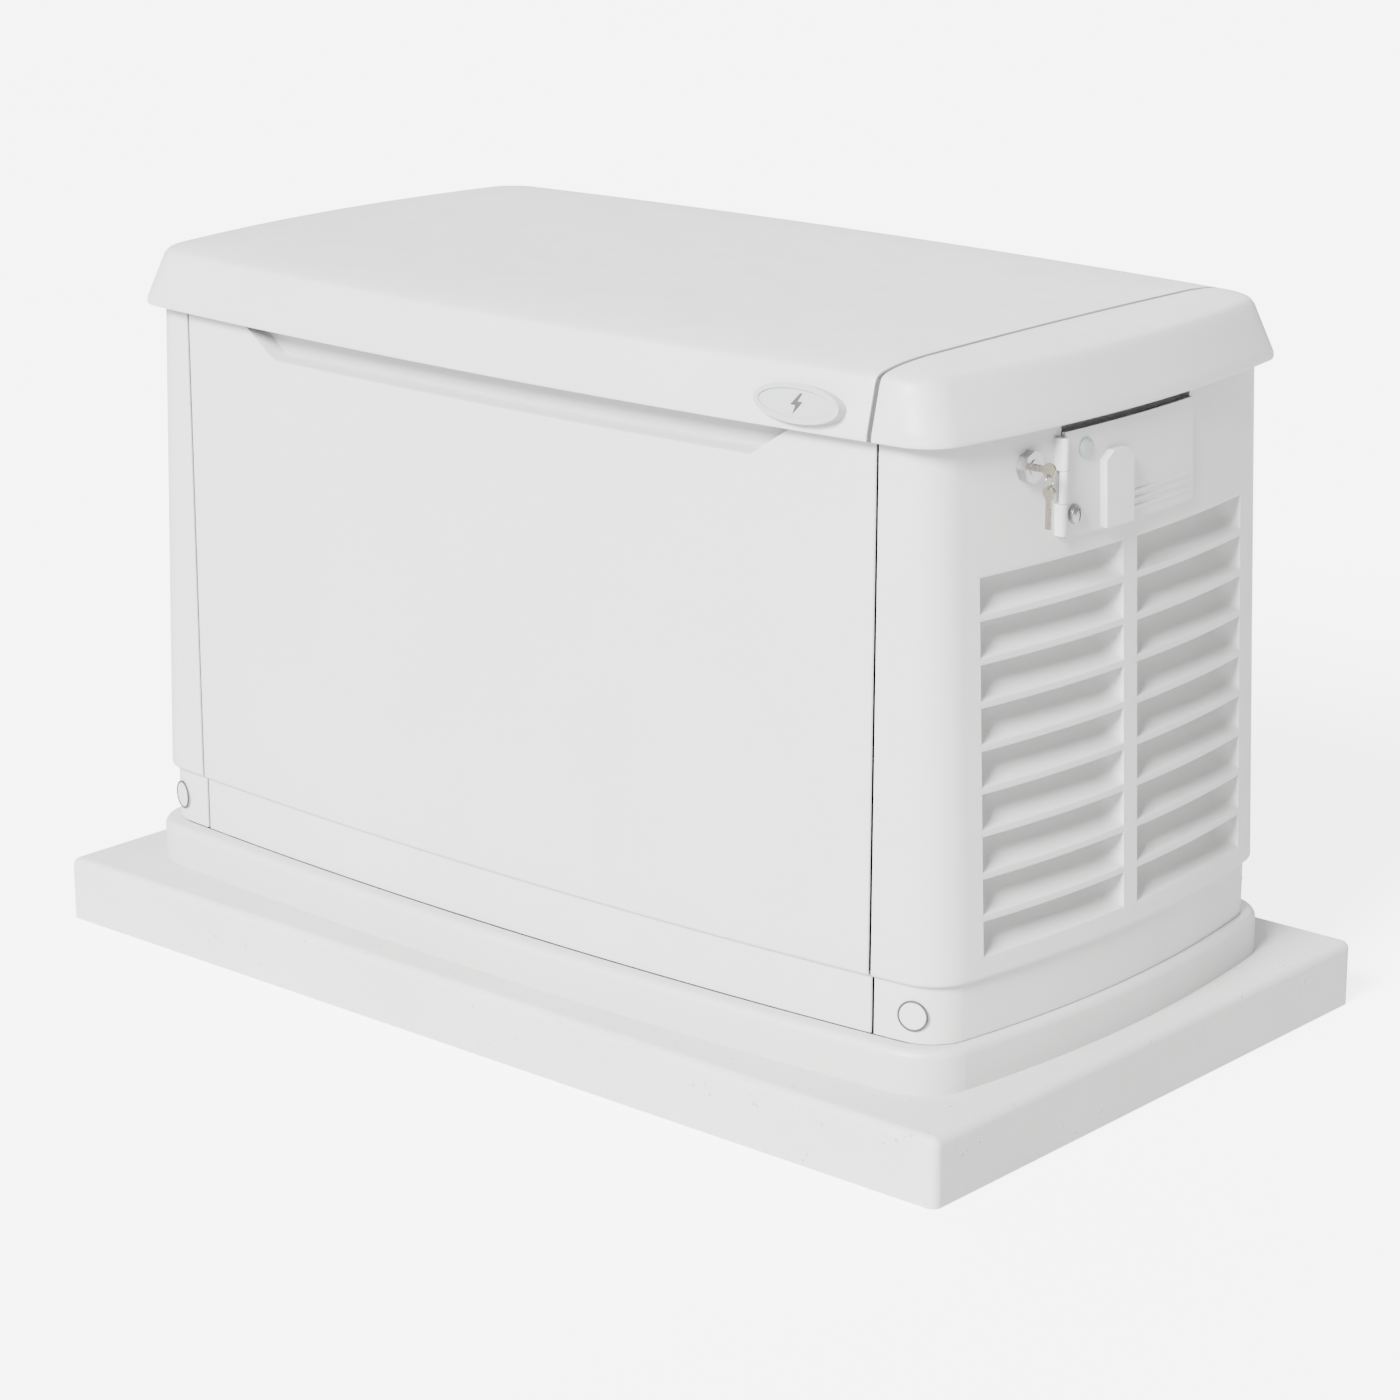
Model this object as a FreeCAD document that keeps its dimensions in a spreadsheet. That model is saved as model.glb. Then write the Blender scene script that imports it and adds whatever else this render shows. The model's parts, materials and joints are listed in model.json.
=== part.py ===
import FreeCAD, Part
import math
import os
import re
import Sketcher

# Home standby generator on its mounting pad, in millimetres.
# +Z is up, -Y is the front, +X is the end with the lock, and the origin is under the middle of the pad.

doc = FreeCAD.newDocument("StandbyGenerator")
sheet = doc.addObject("Spreadsheet::Sheet", "Sizes")
V = FreeCAD.Vector

driving_sizes = {
    # pad and base tray
    "pad_length": 1318, "pad_depth": 768, "pad_height": 76, "pad_edge": 10,
    "tray_top": 124, "tray_floor": 108, "tray_half_length": 623, "tray_half_depth": 338.5,
    "tray_corner": 65, "tray_rim": 20, "anchor_x": 470, "anchor_y": 275, "anchor_radius": 6,
    # bowed rectangle law shared by every ring of the housing
    "front_bow": 31.2, "end_bow": 36.3,
    # housing walls: a lower band, then a wall whose ends lean inwards
    "band_half_length": 613, "band_half_depth": 317, "band_corner": 52, "band_top": 188,
    "wall_foot_half_length": 619.5, "wall_foot_half_depth": 323, "wall_foot_corner": 54,
    "wall_top_half_length": 598, "wall_top_half_depth": 322, "wall_top_corner": 50,
    "wall_top": 748, "wall_thickness": 6, "seam_x": 506, "seam_gap": 3,
    # roof moulding
    "lip_half_length": 612.5, "lip_half_depth": 337.5, "lip_corner": 48.5, "lip_bottom": 752,
    "lip_height": 6, "shoulder_inset_x": 22.5, "shoulder_inset_y": 12.5, "shoulder_top": 815,
    "crown_rise": 14, "roof_seam_x": 508, "roof_seam_width": 6,
    # handle pocket in the front panel
    "pocket_top_half": 397, "pocket_bottom_half": 352, "pocket_bottom": 718, "pocket_depth": 21,
    # louvre banks in both ends
    "louvre_rows": 9, "louvre_pitch": 45, "louvre_bottom": 213, "louvre_depth": 28,
    "louvre_lip": 7.5, "louvre_inner_y": 12, "louvre_outer_y": 232, "louvre_blade": 4,
    # lifting holes at the corners of the band
    "plug_radius": 16, "plug_angle": 72, "plug_height": 155, "plug_rise": 3,
    # roof hinges
    "roof_axis_y": 343, "roof_axis_z": 750, "roof_hinge_x": 300, "knuckle_radius": 6,
    "knuckle_length": 24, "knuckle_gap": 0.5, "roof_pin_radius": 3, "running_gap": 0.06,
    # lock and keys
    "lock_y": -164, "lock_z": 714, "lock_face_x": 599, "lock_barrel_radius": 11,
    "lock_flange_radius": 17, "lock_plug_radius": 8, "lock_depth": 34, "cam_length": 28,
    "key_bow_radius": 7.5, "key_plate": 2.4, "key_bow_x": 617.5, "ring_radius": 6.5,
    "ring_wire": 1, "key_blade_length": 30, "key_hole": 1.9, "key_hole_rim": 3, "ring_rest": 0.6,
    # breaker door
    "door_half_width": 113, "door_bottom": 632, "door_top": 741, "door_thickness": 4,
    "door_axis_x": 603.2, "door_axis_y": -120, "door_knuckle": 4.5, "door_pin_radius": 2,
    "window_half_width": 103, "window_bottom": 641, "window_top": 732,
    "pull_left": -58, "pull_right": -12, "pull_bottom": 634, "pull_top": 713, "pull_rise": 9,
    "lens_y": -81, "lens_z": 720, "lens_radius": 10.5, "screw_y": -100, "screw_z": 655,
    # breaker cabinet behind the door
    "cabinet_half_width": 108, "cabinet_bottom": 636, "cabinet_top": 737, "cabinet_x": 515,
    "breaker_x": 562, "breaker_half_width": 27, "breaker_half_height": 42,
    # engine and alternator on one shaft
    "shaft_z": 318, "shaft_radius": 20, "rail_top": 160, "rail_width": 40, "rail_y": 110,
    "case_left": -135, "case_right": 45, "case_half_depth": 82, "case_top": 372, "case_cavity": 64,
    "cylinder_spread": 45, "barrel_radius": 40, "barrel_start": 78, "barrel_end": 178,
    "fin_size": 112, "fin_thickness": 3, "fin_pitch": 10, "head_height": 40, "cover_height": 26,
    "stator_radius": 132, "stator_bore": 92, "rotor_radius": 90, "stator_left": 70,
    "stator_right": 262, "bracket_right": 292, "fan_radius": 120, "fan_left": -240,
    "fan_disc": 12, "fan_blade": 22, "fan_blades": 16, "blower_left": -262, "blower_radius": 140,
    # air, gas, exhaust
    "cleaner_length": 210, "cleaner_depth": 170, "cleaner_height": 78, "cleaner_bottom": 492,
    "muffler_x": -462, "muffler_z": 318, "muffler_radius": 78, "muffler_length": 400,
    "partition_x": -345, "sheet_thickness": 3, "exhaust_radius": 14, "hose_radius": 10,
    "inlet_x": 440, "inlet_z": 158, "inlet_radius": 17, "inlet_bore": 12, "conduit_x": 380,
    "conduit_radius": 20, "conduit_bore": 14,
    # controls and battery
    "controls_left": 150, "controls_right": 470, "controls_front": -262, "controls_back": -70,
    "controls_bottom": 560, "controls_top": 700, "fascia": 4, "button_radius": 9,
    "button_height": 7, "stand_x": 338, "battery_length": 208, "battery_depth": 173,
    "battery_height": 197, "battery_left": 350, "battery_front": -250, "tray_sheet": 3,
}
for row, (alias, number) in enumerate(driving_sizes.items(), start=1):
    sheet.set("A%d" % row, alias)
    sheet.set("B%d" % row, str(number))
    sheet.setAlias("B%d" % row, alias)
doc.recompute()
parts = []


def size(alias):
    return float(sheet.get(alias))


def bound(formula):
    # a formula names cells by their alias alone; FreeCAD wants the sheet's name before each
    return re.sub(r"[A-Za-z_]+", lambda word: "Sizes." + word.group() if word.group() in driving_sizes
                  else word.group(), str(formula))


def worked_out(formula):
    return float(sheet.evalExpression(bound(formula)))


def bind(item, **formulas):
    for name, formula in formulas.items():
        item.setExpression(name.replace("__", "."), bound(formula))
    return item


def place(item, x=0, y=0, z=0, axis=(0, 0, 1), angle=0):
    item.Placement = FreeCAD.Placement(V(0, 0, 0), FreeCAD.Rotation(V(*axis), angle))
    return bind(item, Placement__Base__x=x, Placement__Base__y=y, Placement__Base__z=z)


def keep(item, label):
    item.Label = label
    parts.append(item)
    return item


def box(x, y, z):
    # each argument is a pair of formulas, the lower and upper side
    item = doc.addObject("Part::Box", "Block")
    spans = {name: "(%s) - (%s)" % (pair[1], pair[0]) for name, pair in
             (("Length", x), ("Width", y), ("Height", z))}
    return place(bind(item, **spans), x[0], y[0], z[0])


turns = {"X": ((0, 1, 0), 90), "Y": ((1, 0, 0), -90), "Z": ((0, 0, 1), 0)}


def rod(radius, length, x, y, z, along="Z"):
    item = bind(doc.addObject("Part::Cylinder", "Rod"), Radius=radius, Height=length)
    return place(item, x, y, z, *turns[along])


def joined(items, kind="Part::MultiFuse"):
    item = doc.addObject(kind, "Joined")
    if kind == "Part::Compound":
        item.Links = items
    else:
        item.Shapes = items
    return item


def group(items):
    return joined(items, "Part::Compound")


def cut(base, *tools):
    item = doc.addObject("Part::Cut", "Cut")
    item.Base = base
    item.Tool = tools[0] if len(tools) == 1 else joined(list(tools))
    return item


def common(first, second):
    item = doc.addObject("Part::Common", "Common")
    item.Base = first
    item.Tool = second
    return item


def rounded(base, radius, chosen):
    # chosen takes an edge and says whether it is rounded
    doc.recompute()
    item = doc.addObject("Part::Fillet", "Rounded")
    item.Base = base
    item.Edges = [(number, radius, radius) for number, edge in enumerate(base.Shape.Edges, start=1)
                  if chosen(edge)]
    return item


def upright(edge):
    tangent = edge.tangentAt(edge.FirstParameter)
    return edge.Curve.TypeId == "Part::GeomLine" and abs(abs(tangent.z) - 1) < 1e-6


def sketch_on(body, plane, points):
    # a closed outline of straight sides, each corner held by two formulas
    drawing = body.newObject("Sketcher::SketchObject", "Outline")
    drawing.AttachmentSupport = [(side, "") for side in body.Origin.OriginFeatures if side.Role == plane]
    drawing.MapMode = "FlatFace"
    here = [V(worked_out(point[0]), worked_out(point[1]), 0) for point in points]
    for number, corner in enumerate(here):
        drawing.addGeometry(Part.LineSegment(corner, here[(number + 1) % len(here)]))
    for number in range(len(here)):
        drawing.addConstraint(Sketcher.Constraint("Coincident", number, 2, (number + 1) % len(here), 1))
    for number, (point, corner) in enumerate(zip(points, here)):
        for kind, formula, value in (("DistanceX", point[0], corner.x), ("DistanceY", point[1], corner.y)):
            held = drawing.addConstraint(Sketcher.Constraint(kind, -1, 1, number, 1, value))
            drawing.setExpression("Constraints[%d]" % held, bound(formula))
    return drawing


def plate(points, thickness, plane="XY_Plane"):
    # a padded outline; the pad is centred on its plane
    body = doc.addObject("PartDesign::Body", "Plate")
    outline = sketch_on(body, plane, points)
    pad = body.newObject("PartDesign::Pad", "Pad")
    pad.Profile = outline
    pad.SideType = "Symmetric"
    body.Tip = bind(pad, Length=thickness)
    return body


def facing_end(item, x, y=0, z=0):
    # stands a flat piece up so that its own X runs along the set's Y and its own Y runs upwards
    upright_turn = FreeCAD.Rotation(V(0, 1, 0), V(0, 0, 1), V(1, 0, 0), "XYZ")
    item.Placement = FreeCAD.Placement(V(0, 0, 0), upright_turn)
    return bind(item, Placement__Base__x=x, Placement__Base__y=y, Placement__Base__z=z)


def turned(points):
    # points are pairs of formulas, radius then height, turned about the body's own Z axis
    body = doc.addObject("PartDesign::Body", "Turned")
    outline = sketch_on(body, "XZ_Plane", points)
    revolution = body.newObject("PartDesign::Revolution", "Revolution")
    revolution.Profile = outline
    revolution.ReferenceAxis = (outline, ["V_Axis"])
    revolution.Angle = 360
    body.Tip = revolution
    return body


def made(shape):
    item = doc.addObject("Part::Feature", "Made")
    item.Shape = shape
    return item


# Housing rings


def ring_wire(half_length, half_depth, corner, height):
    # four long bows joined by four corner arcs that meet them tangentially
    front_radius = half_length ** 2 / (2 * size("front_bow"))
    end_radius = half_depth ** 2 / (2 * size("end_bow"))
    front_centre = V(0, front_radius - half_depth, 0)
    end_centre = V(half_length - end_radius, 0, 0)
    between = front_centre - end_centre
    span = between.Length
    front_reach = front_radius - corner
    end_reach = end_radius - corner
    along = (span ** 2 + end_reach ** 2 - front_reach ** 2) / (2 * span)
    across = math.sqrt(end_reach ** 2 - along ** 2)
    side = between.normalize()
    corner_centre = end_centre + side * along + V(side.y, -side.x, 0) * across
    on_front = corner_centre + (corner_centre - front_centre).normalize() * corner
    on_end = corner_centre + (corner_centre - end_centre).normalize() * corner
    middle = corner_centre + ((on_front + on_end) * 0.5 - corner_centre).normalize() * corner

    def spot(point, x_sign, y_sign):
        return V(point.x * x_sign, point.y * y_sign, height)
    front = V(0, -half_depth, 0)
    end = V(half_length, 0, 0)
    arcs = [
        (spot(on_front, -1, 1), spot(front, 1, 1), spot(on_front, 1, 1)),
        (spot(on_front, 1, 1), spot(middle, 1, 1), spot(on_end, 1, 1)),
        (spot(on_end, 1, 1), spot(end, 1, 1), spot(on_end, 1, -1)),
        (spot(on_end, 1, -1), spot(middle, 1, -1), spot(on_front, 1, -1)),
        (spot(on_front, 1, -1), spot(front, 1, -1), spot(on_front, -1, -1)),
        (spot(on_front, -1, -1), spot(middle, -1, -1), spot(on_end, -1, -1)),
        (spot(on_end, -1, -1), spot(end, -1, 1), spot(on_end, -1, 1)),
        (spot(on_end, -1, 1), spot(middle, -1, 1), spot(on_front, -1, 1)),
    ]
    return Part.Wire([Part.Arc(*three).toShape() for three in arcs])


def stack(rings, inset=0):
    # a solid through the rings, each (half length, half depth, corner, height), pulled in by the inset
    wires = [ring_wire(ring[0] - inset, ring[1] - inset, ring[2] - inset * 0.8, ring[3])
             for ring in rings]
    return Part.makeLoft(wires, True, True)


def slab(x, y, z):
    return Part.makeBox(x[1] - x[0], y[1] - y[0], z[1] - z[0], V(x[0], y[0], z[0]))


def wall_share(height):
    return (height - size("band_top")) / (size("wall_top") - size("band_top"))


def wall_ring(height):
    # the wall's own ring at a height between its foot and its top
    share = wall_share(height)
    names = ("half_length", "half_depth", "corner")
    return [size("wall_foot_" + name) * (1 - share) + size("wall_top_" + name) * share
            for name in names] + [height]


def wall_solid(inset=0):
    band = [size("band_half_length"), size("band_half_depth"), size("band_corner")]
    band_foot = size("tray_top") + 1
    lower = stack([band + [band_foot], band + [size("band_top")]], inset)
    step = wall_ring(size("band_top"))
    bevel = [step[0] - 3, step[1] - 3, step[2] - 3, step[3]]
    above = wall_ring(size("band_top") + 3)
    return lower.fuse(stack([bevel, above, wall_ring(size("wall_top"))], inset)).removeSplitter()


def roof_rings(drop=0):
    lip = [size("lip_half_length"), size("lip_half_depth"), size("lip_corner")]
    shoulder = [lip[0] - size("shoulder_inset_x"), lip[1] - size("shoulder_inset_y"), lip[2] - 1]
    crown = [(0, 0), (6, 0.27), (22, 0.5), (52, 0.72), (110, 0.93), (150, 1)]
    rings = [lip + [size("lip_bottom")], lip + [size("lip_bottom") + size("lip_height")]]
    for inward, share in crown:
        rings.append([shoulder[0] - inward, shoulder[1] - inward, shoulder[2] - inward * 0.25,
                      size("shoulder_top") - drop + share * size("crown_rise")])
    return rings


far = 900
tray_names = ("tray_half_length", "tray_half_depth", "tray_corner")
tray_ring = [size(name) for name in tray_names]
outer_wall = wall_solid()
inner_wall = wall_solid(size("wall_thickness"))
outer_roof = stack(roof_rings())
inner_roof = stack(roof_rings(size("wall_thickness")), size("wall_thickness"))


def end_wall_x(y, height):
    # where the right end's outer face stands at one point
    ring = wall_ring(height)
    return ring[0] - size("end_bow") * (y / ring[1]) ** 2


# Pad, tray and anchors

pad_block = box(("-pad_length / 2", "pad_length / 2"), ("-pad_depth / 2", "pad_depth / 2"),
                (0, "pad_height"))
pad_soft = rounded(pad_block, size("pad_edge"), lambda edge: edge.CenterOfMass.z > 1)
anchor_spots = [("%s * anchor_x" % x, "%s * anchor_y" % y) for x in (-1, 1) for y in (-1, 1)]
pad_holes = [rod("anchor_radius + 0.1", "pad_height - 36", x, y, 36) for x, y in anchor_spots]
keep(cut(pad_soft, *pad_holes), "mounting_pad")

tray_outside = Part.Face(ring_wire(*tray_ring, size("pad_height"))).extrude(
    V(0, 0, size("tray_top") - size("pad_height")))
tray_outside = tray_outside.makeFillet(9, [
    edge for edge in tray_outside.Edges
    if edge.BoundBox.ZMin > size("tray_top") - 1])
rim_ring = [measure - size("tray_rim") for measure in tray_ring]
tray_well = Part.Face(ring_wire(*rim_ring, size("tray_floor"))).extrude(V(0, 0, 40))
tray_hollow = Part.Face(ring_wire(*rim_ring, size("pad_height"))).extrude(
    V(0, 0, size("tray_floor") - size("pad_height") - 14))
tray_holes = [Part.makeCylinder(size("anchor_radius") + 0.1, 60,
                                V(x * size("anchor_x"), y * size("anchor_y"), size("pad_height")))
              for x in (-1, 1) for y in (-1, 1)]
keep(made(tray_outside.cut([tray_well, tray_hollow] + tray_holes)), "base_tray")

anchors = []
for x, y in anchor_spots:
    shank = rod("anchor_radius", "tray_floor - 40", x, y, 40)
    washer = rod("anchor_radius * 2.2", 2, x, y, "tray_floor")
    head = bind(doc.addObject("Part::Prism", "Head"), Circumradius="anchor_radius * 1.7", Height=6)
    anchors.append(joined([shank, washer, place(head, x, y, "tray_floor + 2")]))
keep(group(anchors), "pad_anchor_bolts")

# Wall panels

shell = outer_wall.cut(inner_wall)
seam = size("seam_x")
half_gap = size("seam_gap") / 2
foot = size("tray_top")
wall_top = size("wall_top")


def pocket_prism(grow, low):
    # the handle pocket's outline: wide at the top, its ends sloping in towards the bottom
    top = size("pocket_top_half") + grow
    bottom = size("pocket_bottom_half") + grow
    floor = low - grow
    corners = [V(-bottom, 0, floor), V(bottom, 0, floor), V(top, 0, wall_top + 1),
               V(-top, 0, wall_top + 1), V(-bottom, 0, floor)]
    return Part.Face(Part.makePolygon(corners)).extrude(V(0, -far, 0))


front_zone = slab((-seam + half_gap, seam - half_gap), (-far, 0), (foot, wall_top))
pocket_void = pocket_prism(0, size("pocket_bottom")).cut(wall_solid(size("pocket_depth")))
pocket_wall = pocket_prism(size("wall_thickness"), size("pocket_bottom")).common(front_zone)
pocket_wall = pocket_wall.common(outer_wall)
pocket_wall = pocket_wall.cut(wall_solid(size("pocket_depth") + size("wall_thickness")))
front = shell.common(front_zone).fuse(pocket_wall).cut(pocket_void).removeSplitter()
keep(made(front), "front_panel")

back_zone = slab((-seam + half_gap, seam - half_gap), (0, far), (foot, wall_top))
gas_way = Part.makeCylinder(size("inlet_radius") + 0.5, far,
                            V(size("inlet_x"), 0, size("inlet_z")), V(0, 1, 0))
conduit_way = Part.makeCylinder(size("conduit_radius") - 3, far,
                                V(size("conduit_x"), 0, size("inlet_z")), V(0, 1, 0))
keep(made(shell.common(back_zone).cut([gas_way, conduit_way])), "rear_panel")


def lift_way(radius, x_sign, y_sign, start, reach):
    # a lifting hole's axis leaves the band's corner nearly forwards, at the plug's height
    turn = math.radians(size("plug_angle"))
    direction = V(x_sign * math.cos(turn), y_sign * math.sin(turn), 0)
    band_corner = size("band_corner")
    centre = V(x_sign * (size("band_half_length") - size("end_bow") * 0.62 - band_corner),
               y_sign * (size("band_half_depth") - size("front_bow") * 0.82 - band_corner),
               size("plug_height"))
    return Part.makeCylinder(radius, reach, centre + direction * (band_corner + start), direction)


def louvre_blade(row, side):
    # one slanted blade on the right end, curved with the end wall about the same upright axis;
    # side picks the bank in front of the middle post (-1) or behind it (+1)
    bottom = size("louvre_bottom") + row * size("louvre_pitch")
    ring = wall_ring(bottom)
    bow_radius = ring[1] ** 2 / (2 * size("end_bow"))
    outer = bow_radius - 1
    inner = bow_radius - size("louvre_depth")
    climb = size("louvre_pitch") - 2 * size("louvre_lip")
    corners = [V(outer, 0, bottom - size("louvre_lip")), V(outer, 0, bottom),
               V(inner, 0, bottom + climb), V(inner, 0, bottom + climb - size("louvre_blade"))]
    section = Part.Face(Part.makePolygon(corners + corners[:1]))
    near, out = [math.degrees(math.asin(size(name) / bow_radius))
                 for name in ("louvre_inner_y", "louvre_outer_y")]
    start = near if side > 0 else -out
    section.rotate(V(0, 0, 0), V(0, 0, 1), start)
    blade = section.revolve(V(0, 0, 0), V(0, 0, 1), out - near)
    blade.translate(V(ring[0] - bow_radius, 0, 0))
    return blade


def louvre_bank(side):
    # the blades of one bank and the two cheeks that hold their ends
    low = size("louvre_bottom") - size("louvre_lip")
    high = size("louvre_bottom") + size("louvre_rows") * size("louvre_pitch")
    skin = wall_solid(1).cut(wall_solid(size("louvre_depth")))
    cheeks = []
    for edge in (size("louvre_inner_y") + 0.3, size("louvre_outer_y") - 4.3):
        span = (edge, edge + 4) if side > 0 else (-edge - 4, -edge)
        cheeks.append(skin.common(slab((0, far), span, (low + 0.3, high - 0.3))))
    blades = [louvre_blade(row, side) for row in range(int(size("louvre_rows")))]
    inner_y, outer_y = size("louvre_inner_y") + 0.3, size("louvre_outer_y") - 0.3
    window = slab((0, far), (inner_y, outer_y) if side > 0 else (-outer_y, -inner_y),
                  (low + 0.3, high - 0.3))
    return cheeks[0].fuse([cheeks[1]] + blades).common(window).removeSplitter()


def end_windows():
    low = size("louvre_bottom") - size("louvre_lip")
    high = size("louvre_bottom") + size("louvre_rows") * size("louvre_pitch")
    near, out = size("louvre_inner_y"), size("louvre_outer_y")
    return [slab((0, far), span, (low, high)) for span in ((-out, -near), (near, out))]


end_zone = slab((seam + half_gap, far), (-far, far), (foot, wall_top))
lift_ways = [lift_way(size("plug_radius") - 4, 1, y, -30, 60) for y in (-1, 1)]
plain_end = shell.common(end_zone).cut(end_windows() + lift_ways)
mirror = (V(0, 0, 0), V(1, 0, 0))
keep(made(plain_end.mirror(*mirror)), "left_end_panel")

lock_way = Part.makeCylinder(size("lock_barrel_radius") + 0.1, 200,
                             V(500, size("lock_y"), size("lock_z")), V(1, 0, 0))
window_half = size("window_half_width")
door_window = slab((500, far), (-window_half, window_half),
                   (size("window_bottom"), size("window_top")))
door_half = size("door_half_width")
door_slot = slab((500, far), (-door_half, door_half), (size("window_top"), wall_top + 1))
keep(made(plain_end.cut([lock_way, door_window, door_slot])), "right_end_panel")

banks = [louvre_bank(side) for side in (-1, 1)]
keep(made(Part.Compound(banks)), "right_louvres")
keep(made(Part.Compound([bank.mirror(*mirror) for bank in banks])), "left_louvres")

plugs = []
for x_sign in (-1, 1):
    for y_sign in (-1, 1):
        flange = lift_way(size("plug_radius"), x_sign, y_sign, -12, 12 + size("plug_rise")).cut(outer_wall)
        stem = lift_way(size("plug_radius") - 4, x_sign, y_sign, -12, 12)
        plugs.append(flange.fuse(stem).removeSplitter())
keep(made(Part.Compound(plugs)), "lifting_hole_plugs")

# Roof

roof_shell = outer_roof.cut(inner_roof)
groove_left = size("roof_seam_x") - size("roof_seam_width") / 2
groove_right = size("roof_seam_x") + size("roof_seam_width") / 2
roof_bottom = size("lip_bottom")
roof_main = roof_shell.common(slab((-far, groove_left), (-far, far), (roof_bottom, far)))
roof_end = roof_shell.common(slab((groove_right, far), (-far, far), (roof_bottom, far)))
keep(made(roof_main), "roof_panel")
keep(made(roof_end), "roof_end_cap")
trim_rings = [[ring[0] - 2.5, ring[1] - 2.5, ring[2] - 2, ring[3] - (2.5 if ring[3] > 812 else 0)]
              for ring in roof_rings()]
trim_zone = slab((groove_left, groove_right), (-far, far), (roof_bottom, far))
keep(made(stack(trim_rings).common(trim_zone).cut(inner_roof)), "roof_seam_trim")

liner_bottom = 786
keep(made(stack([[562, 287, 40, liner_bottom], [560, 285, 40, liner_bottom + 6]])), "roof_liner")

# Roof hinges: two outside the rear wall, each with two wall knuckles and one roof knuckle

axis_y, axis_z = size("roof_axis_y"), size("roof_axis_z")
knuckle, knuckle_length = size("knuckle_radius"), size("knuckle_length")
gap, pin_radius = size("knuckle_gap"), size("roof_pin_radius")


def along_x(radius, start, length, y=axis_y, z=axis_z):
    return Part.makeCylinder(radius, length, V(start, y, z), V(1, 0, 0))


brackets, leaves, pins = [], [], []
for middle in (-size("roof_hinge_x"), size("roof_hinge_x")):
    half = knuckle_length / 2
    wide = half + gap + knuckle_length
    arm = slab((middle - wide, middle + wide), (300, axis_y), (706, axis_z)).cut(outer_wall)
    arm = arm.cut([slab((middle - wide, middle + wide), (331, 360), (706, 738)),
                   inner_wall])
    barrel = along_x(knuckle, middle - wide, 2 * wide)
    room = along_x(knuckle + 1.2, middle - half - gap, 2 * (half + gap))
    bracket = arm.fuse(barrel).cut([room, along_x(pin_radius, middle - wide, 2 * wide)])
    bracket = bracket.cut(slab((middle - wide, middle + wide), (300, 400), (axis_z, 800))
                          .cut(along_x(knuckle, middle - wide, 2 * wide)))
    brackets.append(bracket.removeSplitter())
    strap = slab((middle - half, middle + half), (300, axis_y + knuckle), (axis_z, 796))
    strap = strap.cut([outer_roof, slab((middle - half, middle + half), (300, 400), (700, roof_bottom))])
    strap = strap.common(stack([[ring[0] + 5, ring[1] + 5, ring[2], ring[3]] for ring in roof_rings()])
                         .fuse(slab((-far, far), (axis_y - 14, axis_y + 3), (axis_z, axis_z + 9))))
    leaf = strap.fuse(along_x(knuckle, middle - half, 2 * half))
    leaf = leaf.cut([outer_roof, along_x(pin_radius + size("running_gap"), middle - half, 2 * half)])
    leaves.append(leaf.removeSplitter())
    pins.append(along_x(pin_radius, middle - wide - 2, 2 * wide + 4))
keep(made(Part.Compound(brackets)), "roof_hinge_brackets")
keep(made(Part.Compound(leaves)), "roof_hinge_leaves")
keep(made(Part.Compound(pins)), "roof_hinge_pins")



# Badge on the roof's front slope

badge_x, badge_z = 423, 779
slope = math.degrees(math.atan2(size("shoulder_inset_y"), 57))
badge_turn = FreeCAD.Rotation(V(1, 0, 0), 90 - slope)


def oval(half_length, half_height, low, high):
    # an oval tablet that stands out from the roof's front slope
    edge = Part.Ellipse(V(0, 0, 0), half_length, half_height).toShape()
    tablet = Part.Face(Part.Wire([edge])).extrude(V(0, 0, high - low))
    tablet.translate(V(0, 0, low))
    tablet.Placement = FreeCAD.Placement(V(badge_x, -318, badge_z), badge_turn).multiply(tablet.Placement)
    return tablet


badge = oval(55, 20, -20, 8.5).cut([oval(49, 14.5, 6.8, 12), outer_roof])
keep(made(badge), "roof_badge")

# Lock, keys and the keeper that the lock's cam holds

lock_axis = ("lock_y", "lock_z")
flange = bind(doc.addObject("Part::Prism", "Flange"), Circumradius="lock_flange_radius", Height=14)
flange.Polygon = 8
place(flange, "lock_face_x - 14", *lock_axis, (0, 1, 0), 90)
flange_seat = cut(flange, made(outer_wall))
lock_barrel = rod("lock_barrel_radius", "lock_depth", "lock_face_x - lock_depth", *lock_axis, "X")
lock_bore = rod("lock_plug_radius + running_gap", 60, "lock_face_x - lock_depth - 5", *lock_axis, "X")
keep(cut(joined([flange_seat, lock_barrel]), lock_bore), "lock_housing")

plug_body = rod("lock_plug_radius", "lock_depth + 4", "lock_face_x - lock_depth - 3", *lock_axis, "X")
keyway = box(("lock_face_x - 22", "lock_face_x + 3"), ("lock_y - key_plate / 2", "lock_y + key_plate / 2"),
             ("lock_z - 4", "lock_z + 4"))
keep(cut(plug_body, keyway), "lock_plug")
cam_outline = [("-9", "-9"), ("9", "-9"), ("9", "cam_length"), ("-9", "cam_length")]
keep(facing_end(plate(cam_outline, 3), "lock_face_x - lock_depth - 4.5", *lock_axis), "lock_cam")


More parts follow.
